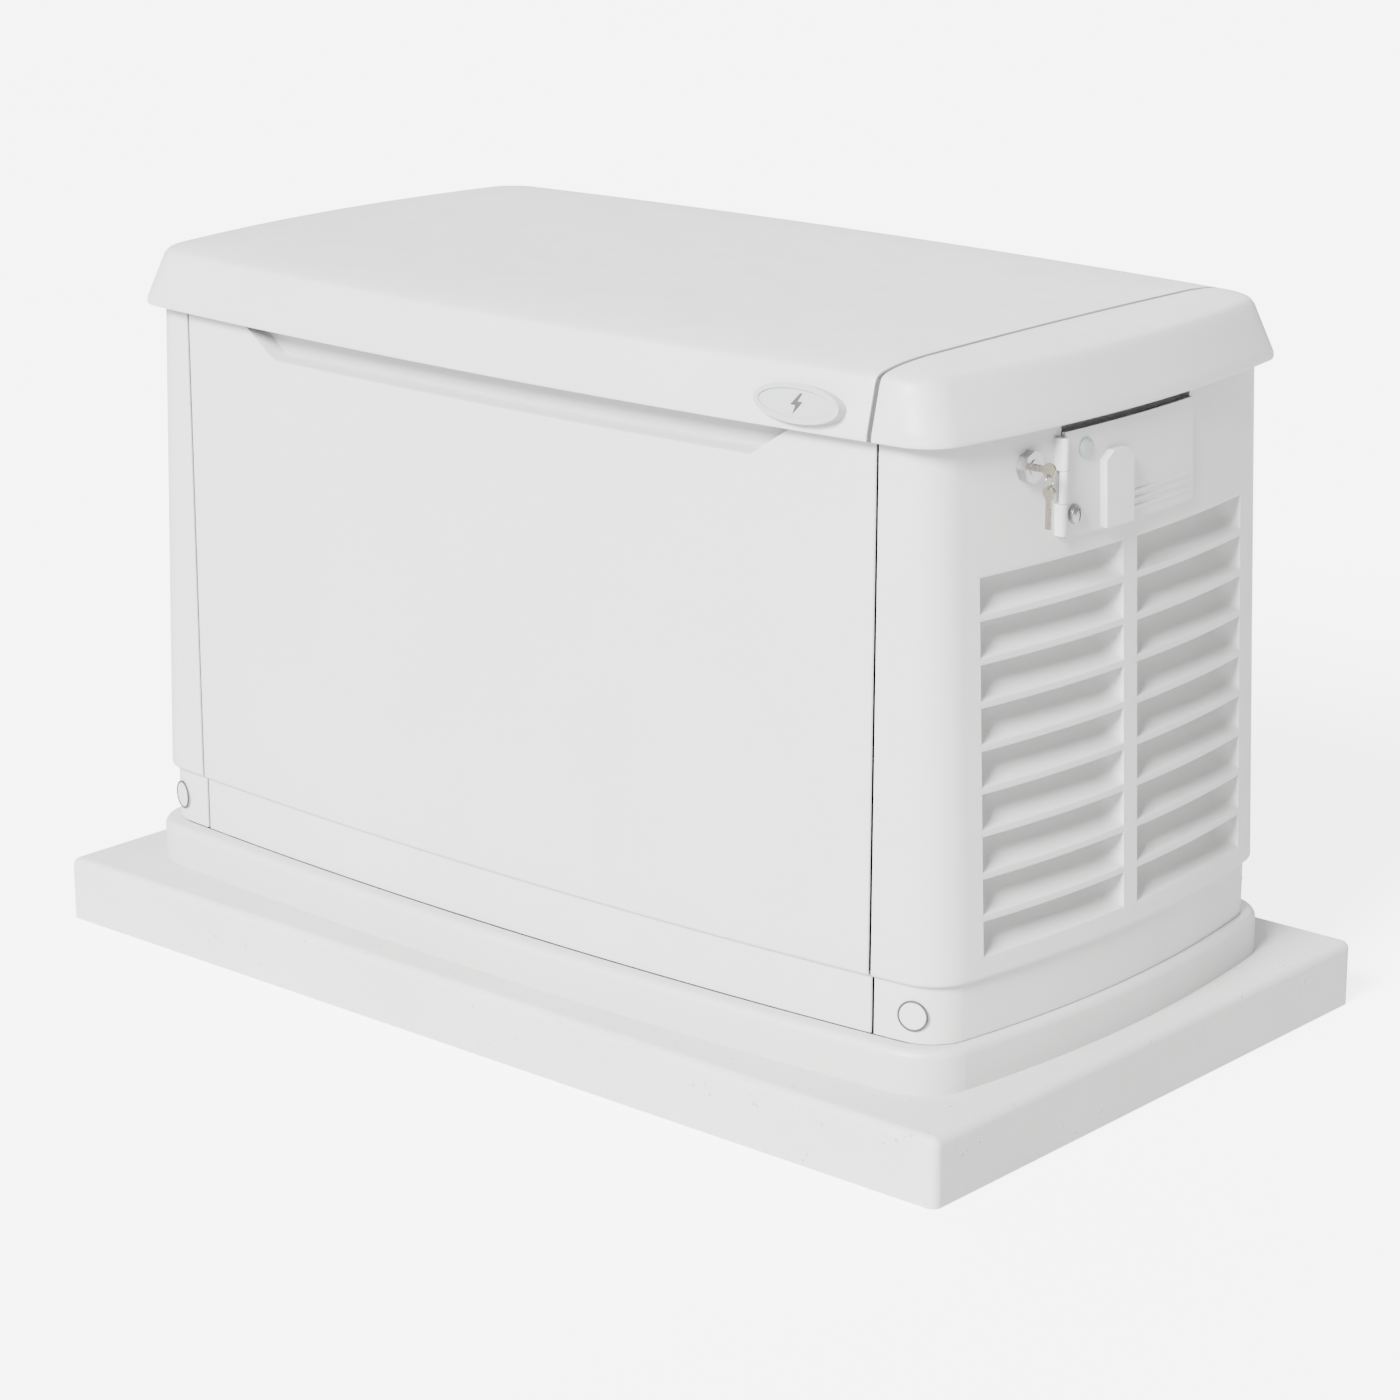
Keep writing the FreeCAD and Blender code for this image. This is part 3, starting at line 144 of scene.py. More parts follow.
def mouldedPlastic(name, colour, dust=weather["dust"], grainScale=620, grainDepth=0.00035,
                   roughness=(0.36, 0.52), splash=(0.12, 0.34), waveDepth=0.0016):
    # leather-grain plastic with faint mottling, dust that settles on top and rain splash near the pad
    material, tree, shader, place = startMaterial(name)
    mottle = noiseNode(tree, place, 5.5, detail=5, roughness=0.6)
    shade = [tuple(part * level for part in colour) for level in (0.975, 1.01)]
    base = rampNode(tree, mottle, 0.3, 0.7, *shade)
    cloud = noiseNode(tree, place, 17, detail=6, roughness=0.65)
    settled = mathNode(tree, "MULTIPLY", rangeNode(tree, cloud, 0.45, 0.75, 0, weather["settled"]),
                       upwardness(tree))
    base = mixNode(tree, settled, base, dust)
    streak = noiseNode(tree, place, 26, detail=5, roughness=0.6, stretch=(1, 1, 0.22))
    splashed = mathNode(tree, "MULTIPLY", rangeNode(tree, streak, 0.42, 0.72, 0, weather["splashed"]),
                        nearGround(tree, place, *splash))
    base = mixNode(tree, splashed, base, dust)
    tree.links.new(base, shader.inputs["Base Color"])
    grain = noiseNode(tree, place, grainScale, detail=3, roughness=0.55)
    wave = noiseNode(tree, place, 9, detail=2, roughness=0.4)
    soft = bumpNode(tree, wave, waveDepth, 0.35)
    tree.links.new(bumpNode(tree, grain, grainDepth, 0.55, soft), shader.inputs["Normal"])
    rough = mathNode(tree, "ADD", rangeNode(tree, cloud, 0.3, 0.7, *roughness),
                     mathNode(tree, "MULTIPLY", splashed, weather["splashRough"]))
    tree.links.new(rough, shader.inputs["Roughness"])
    return material


def castComposite(name, light, dark, dust):
    # the pad: a cast skin with sand grains, small pits and damp patches; the pits are painted darker, painted
    # shade in their hollows
    material, tree, shader, place = startMaterial(name)
    patch = noiseNode(tree, place, 4, detail=6, roughness=0.62)
    sand = noiseNode(tree, place, 420, detail=3, roughness=0.7)
    base = rampNode(tree, patch, 0.3, 0.72, dark, light)
    base = mixNode(tree, rangeNode(tree, sand, 0.35, 0.7, 0, 0.22), base, dust)
    pits = tree.nodes.new("ShaderNodeTexVoronoi")
    pits.inputs["Scale"].default_value = 95
    pits.inputs["Randomness"].default_value = 1
    tree.links.new(place, pits.inputs["Vector"])
    pitted = noiseNode(tree, place, 40, detail=2)
    # the pit mask sinks the bump and darkens the colour: painted shade in the pits
    where = mathNode(tree, "MULTIPLY", rangeNode(tree, pits.outputs["Distance"], 0.05, 0.2, 1, 0),
                     rangeNode(tree, pitted, 0.55, 0.62, 0, 1))
    paintedPitShade = tuple(part * 0.5 for part in dark)
    base = mixNode(tree, mathNode(tree, "MULTIPLY", where, 0.45), base, paintedPitShade)
    tree.links.new(base, shader.inputs["Base Color"])
    shallow = bumpNode(tree, patch, 0.003, 0.4)
    grit = bumpNode(tree, sand, 0.0006, 0.8, shallow)
    raised = mathNode(tree, "SUBTRACT", 1.0, where)
    tree.links.new(bumpNode(tree, raised, 0.0012, 0.8, grit), shader.inputs["Normal"])
    tree.links.new(rangeNode(tree, sand, 0.3, 0.7, 0.72, 0.92), shader.inputs["Roughness"])
    return material


def workedMetal(name, colour, roughness, stretch=(1, 1, 1), scale=300, stained=0.15, metallic=1.0,
                bump=0.0002, stain=(0.2, 0.15, 0.1)):
    # metal or paint on metal: fine tool or cast marks, cloudy gloss and a little staining
    material, tree, shader, place = startMaterial(name)
    marks = noiseNode(tree, place, scale, detail=4, roughness=0.6, stretch=stretch)
    cloud = noiseNode(tree, place, 22, detail=5, roughness=0.6)
    base = rampNode(tree, cloud, 0.3, 0.7, tuple(part * 0.84 for part in colour), colour)
    blotch = noiseNode(tree, place, 48, detail=6, roughness=0.7)
    base = mixNode(tree, rangeNode(tree, blotch, 0.55, 0.8, 0, stained), base, stain)
    tree.links.new(base, shader.inputs["Base Color"])
    shader.inputs["Metallic"].default_value = metallic
    tree.links.new(rangeNode(tree, marks, 0.3, 0.7, *roughness), shader.inputs["Roughness"])
    tree.links.new(bumpNode(tree, marks, bump, 0.6), shader.inputs["Normal"])
    return material


def laminatedCore(name, colour):
    # stacked steel sheets with varnish, the sheet edges running around the shaft
    material, tree, shader, place = startMaterial(name)
    wave = tree.nodes.new("ShaderNodeTexWave")
    wave.bands_direction = "X"
    wave.inputs["Scale"].default_value = 160
    wave.inputs["Distortion"].default_value = 0.4
    tree.links.new(place, wave.inputs["Vector"])
    cloud = noiseNode(tree, place, 30, detail=5, roughness=0.6)
    base = rampNode(tree, cloud, 0.3, 0.7, tuple(part * 0.7 for part in colour), colour)
    tree.links.new(base, shader.inputs["Base Color"])
    shader.inputs["Metallic"].default_value = 0.7
    tree.links.new(rangeNode(tree, cloud, 0.3, 0.7, 0.35, 0.55), shader.inputs["Roughness"])
    tree.links.new(bumpNode(tree, wave.outputs["Fac"], 0.0005, 0.7), shader.inputs["Normal"])
    return material


def buttonPlastic(name, colour, dust):
    return mouldedPlastic(name, colour, dust, grainScale=900, grainDepth=0.0001, roughness=(0.28, 0.4))


# one finish for each slot of the record
finishes = {
    "pad": castComposite("padComposite", (0.54, 0.54, 0.535), (0.48, 0.48, 0.475), (0.58, 0.58, 0.57)),
    "tray": mouldedPlastic("trayPlastic", (0.50, 0.50, 0.495), splash=(0.08, 0.13)),
    "housing": mouldedPlastic("housingPlastic", (0.53, 0.53, 0.525)),
    "gasket": mouldedPlastic("gasketRubber", (0.05, 0.05, 0.05), (0.2, 0.19, 0.17),
                             grainScale=900, grainDepth=0.0002, roughness=(0.6, 0.8)),
    "badge": mouldedPlastic("badgePlastic", (0.40, 0.405, 0.41),
                            grainScale=1500, grainDepth=0.00008, roughness=(0.2, 0.34)),
    "zinc": workedMetal("zincPlate", (0.45, 0.45, 0.44), (0.28, 0.46)),
    "lock_metal": workedMetal("lockChrome", (0.46, 0.46, 0.46), (0.16, 0.3), scale=500, stained=0.06),
    "key_metal": workedMetal("keyNickel", (0.40, 0.37, 0.31), (0.22, 0.38), (1, 1, 0.2), scale=700,
                             stained=0.1),
    "painted_steel": workedMetal("powderCoat", (0.13, 0.135, 0.14), (0.4, 0.55), scale=800, stained=0.05,
                                 metallic=0.0, bump=0.0003),
    "sheet": workedMetal("galvanised", (0.56, 0.57, 0.58), (0.32, 0.52), scale=60, bump=0.0001),
    "cast_aluminium": workedMetal("castAluminium", (0.58, 0.58, 0.58), (0.45, 0.62), scale=420, bump=0.0005),
    "cast_steel": workedMetal("machinedSteel", (0.36, 0.36, 0.37), (0.25, 0.42), (0.1, 1, 1), scale=500),
    "black_plastic": mouldedPlastic("blackPlastic", (0.045, 0.045, 0.048), (0.2, 0.19, 0.18),
                                    grainScale=800, grainDepth=0.00025, roughness=(0.4, 0.58)),
    "red_plastic": buttonPlastic("redPlastic", (0.50, 0.03, 0.025), (0.4, 0.3, 0.28)),
    "green_plastic": buttonPlastic("greenPlastic", (0.04, 0.28, 0.09), (0.3, 0.36, 0.3)),
    "amber_plastic": buttonPlastic("amberPlastic", (0.72, 0.34, 0.03), (0.5, 0.4, 0.3)),
    "foam": mouldedPlastic("foamSheet", (0.07, 0.07, 0.075), (0.15, 0.15, 0.14),
                           grainScale=260, grainDepth=0.002, roughness=(0.85, 0.98)),
    "rubber": mouldedPlastic("mountRubber", (0.035, 0.035, 0.035), (0.14, 0.13, 0.12),
                             grainScale=700, grainDepth=0.0003, roughness=(0.55, 0.75)),
    "lens": mouldedPlastic("lensPlastic", (0.30, 0.36, 0.33),
                           grainScale=1200, grainDepth=0.00004, roughness=(0.08, 0.16)),
    "lamination": laminatedCore("laminatedCore", (0.30, 0.30, 0.31)),
}
for entry in frame["record"]["subparts"]:
    mesh = frame["nodes"][entry["node"]].data
    mesh.materials.clear()
    mesh.materials.append(finishes[entry["material_slot"]])
print("materials made:", len(finishes))


# Mesh helpers


def makePiece(name, mesh, slot, body, *replaced, crease=38):
    # marks edges over the crease angle as sharp, gives the finish and hangs the piece on its body
    for polygon in mesh.polygons:
        polygon.use_smooth = True
    draft = bmesh.new()
    draft.from_mesh(mesh)
    for edge in draft.edges:
        if len(edge.link_faces) == 2 and edge.calc_face_angle(0) > math.radians(crease):
            edge.smooth = False
    draft.to_mesh(mesh)
    draft.free()
    piece = bpy.data.objects.new(name, mesh)
    scene.collection.objects.link(piece)
    mesh.materials.clear()
    mesh.materials.append(finishes[slot])
    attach(piece, body)
    if replaced:
        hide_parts(*replaced)


def meshFrom(draft, name):
    mesh = bpy.data.meshes.new(name)
    draft.to_mesh(mesh)
    draft.free()
    return mesh


def shapedBy(mesh, kind, **settings):
    # the mesh as it comes out of one modifier
    holder = bpy.data.objects.new("draft", mesh)
    scene.collection.objects.link(holder)
    modifier = holder.modifiers.new("shape", kind)
    for name, value in settings.items():
        setattr(modifier, name, value)
    result = bpy.data.meshes.new_from_object(holder.evaluated_get(bpy.context.evaluated_depsgraph_get()))
    bpy.data.objects.remove(holder)
    return result


def thickened(mesh, thickness):
    # gives a sheet its wall inwards; even thickness stays off, as it makes spikes in the deep folds
    return shapedBy(mesh, "SOLIDIFY", thickness=thickness, offset=-1)


def bored(mesh, place, axis, radius, reach=0.03):
    # cuts a round hole right through a wall
    draft = bmesh.new()
    turn = Vector(axis).to_track_quat("Z", "Y").to_matrix().to_4x4()
    bmesh.ops.create_cone(draft, cap_ends=True, segments=48, radius1=radius, radius2=radius, depth=2 * reach,
                          matrix=Matrix.Translation(place) @ turn)
    drill = bpy.data.objects.new("drill", meshFrom(draft, "drill"))
    scene.collection.objects.link(drill)
    result = shapedBy(mesh, "BOOLEAN", object=drill, operation="DIFFERENCE", solver="EXACT")
    bpy.data.objects.remove(drill)
    return result


def between(low, high, steps):
    # evenly spaced values, both ends included
    return [low + (high - low) * step / steps for step in range(steps + 1)]


def stops(*runs):
    # joins runs of (low, high, steps) into one rising list without repeats
    values = sorted(value for run in runs for value in between(*run))
    kept = [values[0]]
    for value in values[1:]:
        if value - kept[-1] > 1e-6:
            kept.append(value)
    return kept


def smoothRise(share):
    share = max(0.0, min(1.0, share))
    return share * share * (3 - 2 * share)


def edgeRound(distance, radius):
    # how far a rounded edge has dropped back at a distance inside the edge
    if distance >= radius:
        return 0.0
    return radius - math.sqrt(max(0.0, radius ** 2 - (radius - distance) ** 2))


# The housing's bowed rings, with the same arcs as the CAD walls

housing = {
    "frontBow": 0.0312, "endBow": 0.0363,
    "band": (0.613, 0.317, 0.052), "wallFoot": (0.6195, 0.323, 0.054), "wallTop": (0.598, 0.322, 0.050),
    "bottom": 0.125, "bandTop": 0.188, "top": 0.748, "stepRound": 0.005, "wall": 0.005,
    "seamX": 0.5045, "endSeamX": 0.5075, "seamRound": 0.0022, "cornerX": 0.56, "plainY": 0.25,
}


def ringAt(height):
    # half length, half depth and corner radius: upright band, rounded step, then a wall that leans in
    if height < housing["bandTop"]:
        return housing["band"]
    share = (height - housing["bandTop"]) / (housing["top"] - housing["bandTop"])
    drop = edgeRound(height - housing["bandTop"], housing["stepRound"])
    return tuple(foot * (1 - share) + top * share - drop
                 for foot, top in zip(housing["wallFoot"], housing["wallTop"]))


def ringArcs(ring):
    # the front and end bows and the corner arc that meets both, on the front right quarter
    halfLength, halfDepth, corner = ring
    frontRadius = halfLength ** 2 / (2 * housing["frontBow"])
    endRadius = halfDepth ** 2 / (2 * housing["endBow"])
    frontCentre = Vector((0, frontRadius - halfDepth))
    endCentre = Vector((halfLength - endRadius, 0))
    apart = frontCentre - endCentre
    span = apart.length
    along = (span ** 2 + (endRadius - corner) ** 2 - (frontRadius - corner) ** 2) / (2 * span)
    across = math.sqrt((endRadius - corner) ** 2 - along ** 2)
    side = apart.normalized()
    cornerCentre = endCentre + side * along + Vector((side.y, -side.x)) * across
    toFront = (cornerCentre - frontCentre).normalized()
    toEnd = (cornerCentre - endCentre).normalized()
    return {"frontCentre": frontCentre, "frontRadius": frontRadius, "endCentre": endCentre,
            "endRadius": endRadius, "cornerCentre": cornerCentre, "corner": corner,
            "frontX": (cornerCentre + toFront * corner).x, "endY": (cornerCentre + toEnd * corner).y,
            "from": math.atan2(toFront.y, toFront.x), "to": math.atan2(toEnd.y, toEnd.x)}


def outlinePoint(arcs, part, value, share=0.0):
    # a point and its outward direction in plan, on the front right quarter
    if part == "front":
        x = value + (arcs["frontX"] - value) * share
        point = Vector((x, arcs["frontCentre"].y - math.sqrt(arcs["frontRadius"] ** 2 - x ** 2)))
        return point, (point - arcs["frontCentre"]).normalized()
    if part == "corner":
        angle = arcs["from"] + (arcs["to"] - arcs["from"]) * share
        out = Vector((math.cos(angle), math.sin(angle)))
        return arcs["cornerCentre"] + out * arcs["corner"], out
    y = value + (arcs["endY"] - value) * share
    point = Vector((arcs["endCentre"].x + math.sqrt(arcs["endRadius"] ** 2 - y ** 2), y))
    return point, (point - arcs["endCentre"]).normalized()


def inOpening(y, height, openings, slack=1e-6):
    # openings are (lowest y, highest y, lowest height, highest height)
    return any(lowY - slack <= y < highY - slack and low - slack <= height < high - slack
               for lowY, highY, low, high in openings)


def bentSheet(columns, heights, depthAt, flip=(1, 1), leanAt=None, openings=()):
    # a grid wrapped on the housing; depthAt says how far each spot is pressed in, and openings are cut out
    # a column is its part of the outline, its x or y there, its share of the way to the corner, and its side
    draft = bmesh.new()
    bmesh.ops.create_grid(draft, x_segments=len(columns) - 1, y_segments=len(heights) - 1, size=1)
    rows = [ringArcs(ringAt(height)) for height in heights]
    spots = {}
    for vertex in draft.verts:
        column = round((vertex.co.x + 1) / 2 * (len(columns) - 1))
        row = round((vertex.co.y + 1) / 2 * (len(heights) - 1))
        part, value, share, side = columns[column]
        lean = leanAt(value, heights[row]) if leanAt else 0
        point, out = outlinePoint(rows[row], part, value + lean, share)
        spot = point - out * depthAt(part, value, share, heights[row])
        vertex.co = (spot.x * flip[0], spot.y * side * flip[1], heights[row])
        spots[vertex] = (column, row)
    for face in list(draft.faces):
        column, row = (min(spots[vertex][axis] for vertex in face.verts) for axis in (0, 1))
        part, value, share, side = columns[column]
        onEnd = part == "end" and columns[column + 1][0] == "end"
        if onEnd and inOpening(value * side, heights[row], openings):
            bmesh.ops.delete(draft, geom=[face], context="FACES")
    loose = [vertex for vertex in draft.verts if not vertex.link_faces]
    bmesh.ops.delete(draft, geom=loose, context="VERTS")
    return draft


def wallMesh(draft, name, facing, thickness=housing["wall"]):
    # turns the sheet's faces outwards and gives it its thickness inwards
    face = max(draft.faces, key=lambda each: each.calc_center_median().dot(facing))
    if face.normal.dot(facing) < 0:
        bmesh.ops.reverse_faces(draft, faces=draft.faces)
    return thickened(meshFrom(draft, name), thickness)


# The hand hold, the breaker door's place, the lock's hole and the louvres

pocket = {"bottom": 0.718, "topHalf": 0.397, "bottomHalf": 0.352, "depth": 0.021, "ledge": 0.0052,
          "bend": 0.0035, "sideBend": 0.004, "leaning": 0.012, "seamClear": 0.006}
door = {"windowHalf": 0.103, "windowLow": 0.641, "windowHigh": 0.732, "slotHalf": 0.113, "slotEdge": 0.0004,
        "slotDepth": 0.011, "face": 0.0045, "ribRise": 0.0011, "ribHeights": (0.6445, 0.653, 0.6615),
        "ribHalf": 0.0024, "ribFrom": -0.004, "ribTo": 0.108, "ribRun": 0.008, "ribFade": 0.006,
        "ribSink": 0.0004, "backing": 0.0015}
lockHole = {"y": -0.164, "z": 0.714, "half": 0.0105}
louvres = {"rows": 9, "pitch": 0.045, "bottom": 0.213, "ramp": 0.0375, "innerY": 0.012, "outerY": 0.232,
           "depth": 0.030, "funnel": 0.028, "lipRound": 0.0014, "folds": (0.0022, 0.0003), "tuck": 0.0008}

# Rows of the walls, from the bottom up

stepTop = housing["bandTop"] + housing["stepRound"]
# the band's last row lies just under its top, where the step begins
bandRows = stops((housing["bottom"], 0.1275, 3), (0.1275, 0.185, 4), (0.185, 0.18795, 3))
stepRows = [housing["bandTop"] + housing["stepRound"] * (1 - math.cos(angle * math.pi / 12))
            for angle in range(7)]


def louvreRows():
    # each scoop: a curved ramp, its upper fold, the rounded lip and the flat up to the next scoop
    values = []
    for number in range(louvres["rows"]):
        low = louvres["bottom"] + number * louvres["pitch"]
        high, top = low + louvres["ramp"], low + louvres["pitch"]
        values += [low + louvres["ramp"] * (1 - math.cos(step * math.pi / 20)) for step in range(1, 9)]
        values += [high - fold for fold in louvres["folds"]]
        values += [high, high + louvres["lipRound"] * 0.3, high + louvres["lipRound"]]
        values += [top - louvres["tuck"], top]
    return values


plainRows = stops((stepTop, louvres["bottom"], 2))
louvreTop = louvres["bottom"] + louvres["rows"] * louvres["pitch"]
lockLow, lockHigh = lockHole["z"] - lockHole["half"], lockHole["z"] + lockHole["half"]
aboveRows = stops((louvreTop, door["windowLow"], 3), (door["windowLow"], lockLow, 6), (lockLow, lockHigh, 4),
                  (lockHigh, door["windowHigh"], 2), (door["windowHigh"], housing["top"], 3))
endRows = bandRows + stepRows + plainRows[1:] + louvreRows() + aboveRows[1:]
bendLow, bendHigh = pocket["bottom"] - pocket["bend"], pocket["bottom"] + pocket["bend"]
pocketRows = stops((stepTop, 0.70, 14), (0.70, bendLow, 3), (bendLow, bendHigh, 14), (bendHigh, 0.730, 3),
                   (0.730, housing["top"], 6))
panelRows = bandRows + stepRows + pocketRows[1:]


def seamDepth(distance):
    return edgeRound(distance, housing["seamRound"])


def plainDepth(part, x, share, height):
    return seamDepth(housing["seamX"] - abs(x))


def pocketDepth(part, x, share, height):
    # the hand hold: a tray pressed into the top edge, its floor and sides rounded over
    inside = smoothRise((height - pocket["bottom"] + 0.5 * pocket["ledge"]) / pocket["ledge"])
    beside = smoothRise((pocket["bottomHalf"] + 0.5 * pocket["ledge"] - abs(x)) / pocket["ledge"])
    return plainDepth(part, x, share, height) + pocket["depth"] * inside * beside


leanLow, leanHigh = pocket["bottomHalf"] - pocket["leaning"], pocket["bottomHalf"] + pocket["leaning"]


def pocketLean(x, height):
    # the pocket's sides widen upwards, so the columns beside it lean with them
    widening = (pocket["topHalf"] - pocket["bottomHalf"]) / (housing["top"] - pocket["bottom"])
    lean = widening * max(0.0, height - pocket["bottom"])
    still = housing["seamX"] - pocket["seamClear"]
    size = abs(x)
    if size < leanLow:
        share = size / leanLow
    elif size < leanHigh:
        share = 1.0
    else:
        share = max(0.0, (still - size) / (still - leanHigh))
    return math.copysign(lean * share, x)


sideLow, sideHigh = pocket["bottomHalf"] - pocket["sideBend"], pocket["bottomHalf"] + pocket["sideBend"]
seamStart = housing["seamX"] - housing["seamRound"]
halfStops = stops((0, 0.30, 10), (0.30, leanLow, 4), (leanLow, sideLow, 3), (sideLow, sideHigh, 14),
                  (sideHigh, leanHigh, 3), (leanHigh, 0.46, 5), (0.46, seamStart, 2))
seamStops = [housing["seamX"] - housing["seamRound"] * (1 - math.cos(angle * math.pi / 8))
             for angle in range(5)]
halfStops = halfStops[:-1] + sorted(seamStops)
panelColumns = [("front", x, 0, 1) for x in [-value for value in reversed(halfStops[1:])] + halfStops]
front = bentSheet(panelColumns, panelRows, pocketDepth, leanAt=pocketLean)
front = wallMesh(front, "frontPanelSheet", Vector((0, -1, 0)))
makePiece("frontPanelSheet", front, "housing", "front", "front_panel")
rear = bentSheet(panelColumns, panelRows, plainDepth, (1, -1))
rear = wallMesh(rear, "rearPanelSheet", Vector((0, 1, 0)))
rearHoles = {"conduit": ((0.380, 0.302, 0.158), 0.017), "inlet": ((0.440, 0.297, 0.158), 0.0176)}
for middle, radius in rearHoles.values():
    rear = bored(rear, middle, (0, 1, 0), radius)
makePiece("rearPanelSheet", rear, "housing", "root", "rear_panel")
print("front and rear panels made")


# Both ends, each with two banks of louvre scoops


def louvreDepth(part, y, share, height):
    if part == "front":
        return seamDepth((housing["cornerX"] - y) * share)
    inner, outer = abs(y) - louvres["innerY"], louvres["outerY"] - abs(y)
    if part == "corner" or share > 0 or inner <= 0 or outer <= 0 or height <= louvres["bottom"]:
        return 0.0
    number = int((height - louvres["bottom"] - 1e-7) / louvres["pitch"])
    if number >= louvres["rows"]:
        return 0.0
    above = height - louvres["bottom"] - number * louvres["pitch"]
    if above > louvres["ramp"] - 1e-5:
        return edgeRound(above - louvres["ramp"], louvres["lipRound"])
    rise = math.sin(min(1.0, above / louvres["ramp"]) * math.pi / 2) ** 0.75
    ends = 1.0
    for distance in (inner, outer):
        closeness = min(1.0, distance / louvres["funnel"])
        ends *= math.sqrt(max(0.0, 1 - (1 - closeness) ** 2))
    return louvres["depth"] * rise * ends


def rightEndDepth(part, y, share, height):
    # the right end also has the recess above its door
    above = part == "end" and share == 0 and height > door["windowHigh"] - 1e-6
    if above and abs(y) < door["slotHalf"] + 1e-6:
        return door["slotDepth"]
    return louvreDepth(part, y, share, height)


def funnelStops(start, direction):
    # close together at a scoop's end, where its depth changes fastest
    return [start + direction * louvres["funnel"] * (1 - math.cos(step * math.pi / 16)) for step in range(9)]


innerEnd, outerEnd, funnel = louvres["innerY"], louvres["outerY"], louvres["funnel"]
lockNear, lockFar = -lockHole["y"] - lockHole["half"], -lockHole["y"] + lockHole["half"]
slotEnd = door["slotHalf"] + door["slotEdge"]
endStops = stops((0, innerEnd, 2)) + funnelStops(innerEnd, 1) + funnelStops(outerEnd, -1)
endStops += stops((innerEnd + funnel, 0.1, 5), (0.1, door["windowHalf"], 1),
                  (door["windowHalf"], door["slotHalf"], 2), (door["slotHalf"], slotEnd, 1),
                  (slotEnd, lockNear, 3), (lockNear, lockFar, 2), (lockFar, outerEnd - funnel, 3))
endStops += stops((outerEnd, housing["plainY"], 2))
endStops = sorted({round(value, 6) for value in endStops})
frontShares = [0, 0.006, 0.014, 0.026, 0.042, 0.2, 0.45, 0.72]


def endColumns():
    # from the front seam round the corner, across the end and round to the rear seam
    columns = [("front", housing["endSeamX"], share, 1) for share in frontShares]
    columns += [("corner", 0, share, 1) for share in between(0, 1, 14)]
    columns += [("end", -housing["plainY"], share, 1) for share in (0.8, 0.5, 0.25)]
    columns += [("end", -y, 0, 1) for y in reversed(endStops)]
    return columns + [(part, value, share, -1) for part, value, share, _ in reversed(columns[:-1])]


def endWall(name, side, depthAt, openings, *replaced):
    draft = bentSheet(endColumns(), endRows, depthAt, (side, 1), openings=openings)
    makePiece(name, wallMesh(draft, name, Vector((side, 0, 0))), "housing", "root", *replaced)


window = (-door["windowHalf"], door["windowHalf"], door["windowLow"], door["windowHigh"])
endWall("rightEndSheet", 1, rightEndDepth, (window, (-lockFar, -lockNear, lockLow, lockHigh)),
        "right_end_panel", "right_louvres")
endWall("leftEndSheet", -1, louvreDepth, (), "left_end_panel", "left_louvres")
print("end walls made")


def ribDepth(part, y, share, height):
    # the ribs stand on the door's outer face, and the sheet between them lies just inside it
    nearest = min(abs(height - middle) for middle in door["ribHeights"])
    swell = math.sqrt(max(0.0, 1 - (nearest / door["ribHalf"]) ** 2))
    ends = smoothRise(min(y - door["ribFrom"], door["ribTo"] - y) / door["ribFade"])
    return -(door["face"] - door["ribSink"] + (door["ribRise"] + door["ribSink"]) * swell * ends)


ribRows = [middle + door["ribHalf"] * math.sin(step * math.pi / 10)
           for middle in door["ribHeights"] for step in range(-5, 6)]
nearRun, farRun = door["ribFrom"] + door["ribRun"], door["ribTo"] - door["ribRun"]
ribStops = stops((door["ribFrom"], nearRun, 5), (nearRun, farRun, 10), (farRun, door["ribTo"], 5))
ribs = bentSheet([("end", y, 0, 1) for y in ribStops], ribRows, ribDepth)
ribs = wallMesh(ribs, "breakerDoorRibs", Vector((1, 0, 0)), door["backing"])
makePiece("breakerDoorRibs", ribs, "housing", "breaker_door")
print("door ribs made")


# The roof: one moulded lid, parted into a long part and an end cap

roof = {
    "lip": (0.6125, 0.3375, 0.0485), "low": 0.752, "lipTop": 0.758, "insetX": 0.0225, "insetY": 0.0125,
    "shoulder": 0.815, "rise": 0.014, "cutLeft": 0.505, "cutRight": 0.511, "wall": 0.005, "frontSteps": 18,
    "arcSteps": 10, "cutRound": 0.0012, "cutCrease": 50,
    # how far in from the shoulder, and the share of the rise reached there
    "crown": ((0.0004, -0.12), (0.0022, 0.04), (0.006, 0.20), (0.012, 0.33), (0.022, 0.465), (0.036, 0.60),
              (0.052, 0.71), (0.08, 0.835), (0.11, 0.925), (0.15, 1)),
}


def roofRings():
    # (half length, half depth, corner, height) from the lip's underside up over the crown
    length, depth, corner = roof["lip"]
    # the lip's lower edge is rounded by its first rings, and its upper edge by the next
    rings = [(length - 0.0012, depth - 0.0012, corner - 0.001, roof["low"]),
             (length - 0.0003, depth - 0.0003, corner, roof["low"] + 0.0004),
             (length, depth, corner, roof["low"] + 0.0014),
             (length, depth, corner, roof["lipTop"] - 0.0012),
             (length - 0.0004, depth - 0.0004, corner, roof["lipTop"])]
    for share in (0.02, 0.2, 0.45, 0.7, 0.9):
        rings.append((length - roof["insetX"] * share, depth - roof["insetY"] * share, corner - 0.001 * share,
                      roof["lipTop"] + (roof["shoulder"] - roof["lipTop"]) * share))
    for inward, share in roof["crown"]:
        rings.append((length - roof["insetX"] - inward, depth - roof["insetY"] - inward,
                      corner - 0.001 - inward * 0.25, roof["shoulder"] + share * roof["rise"]))
    return rings


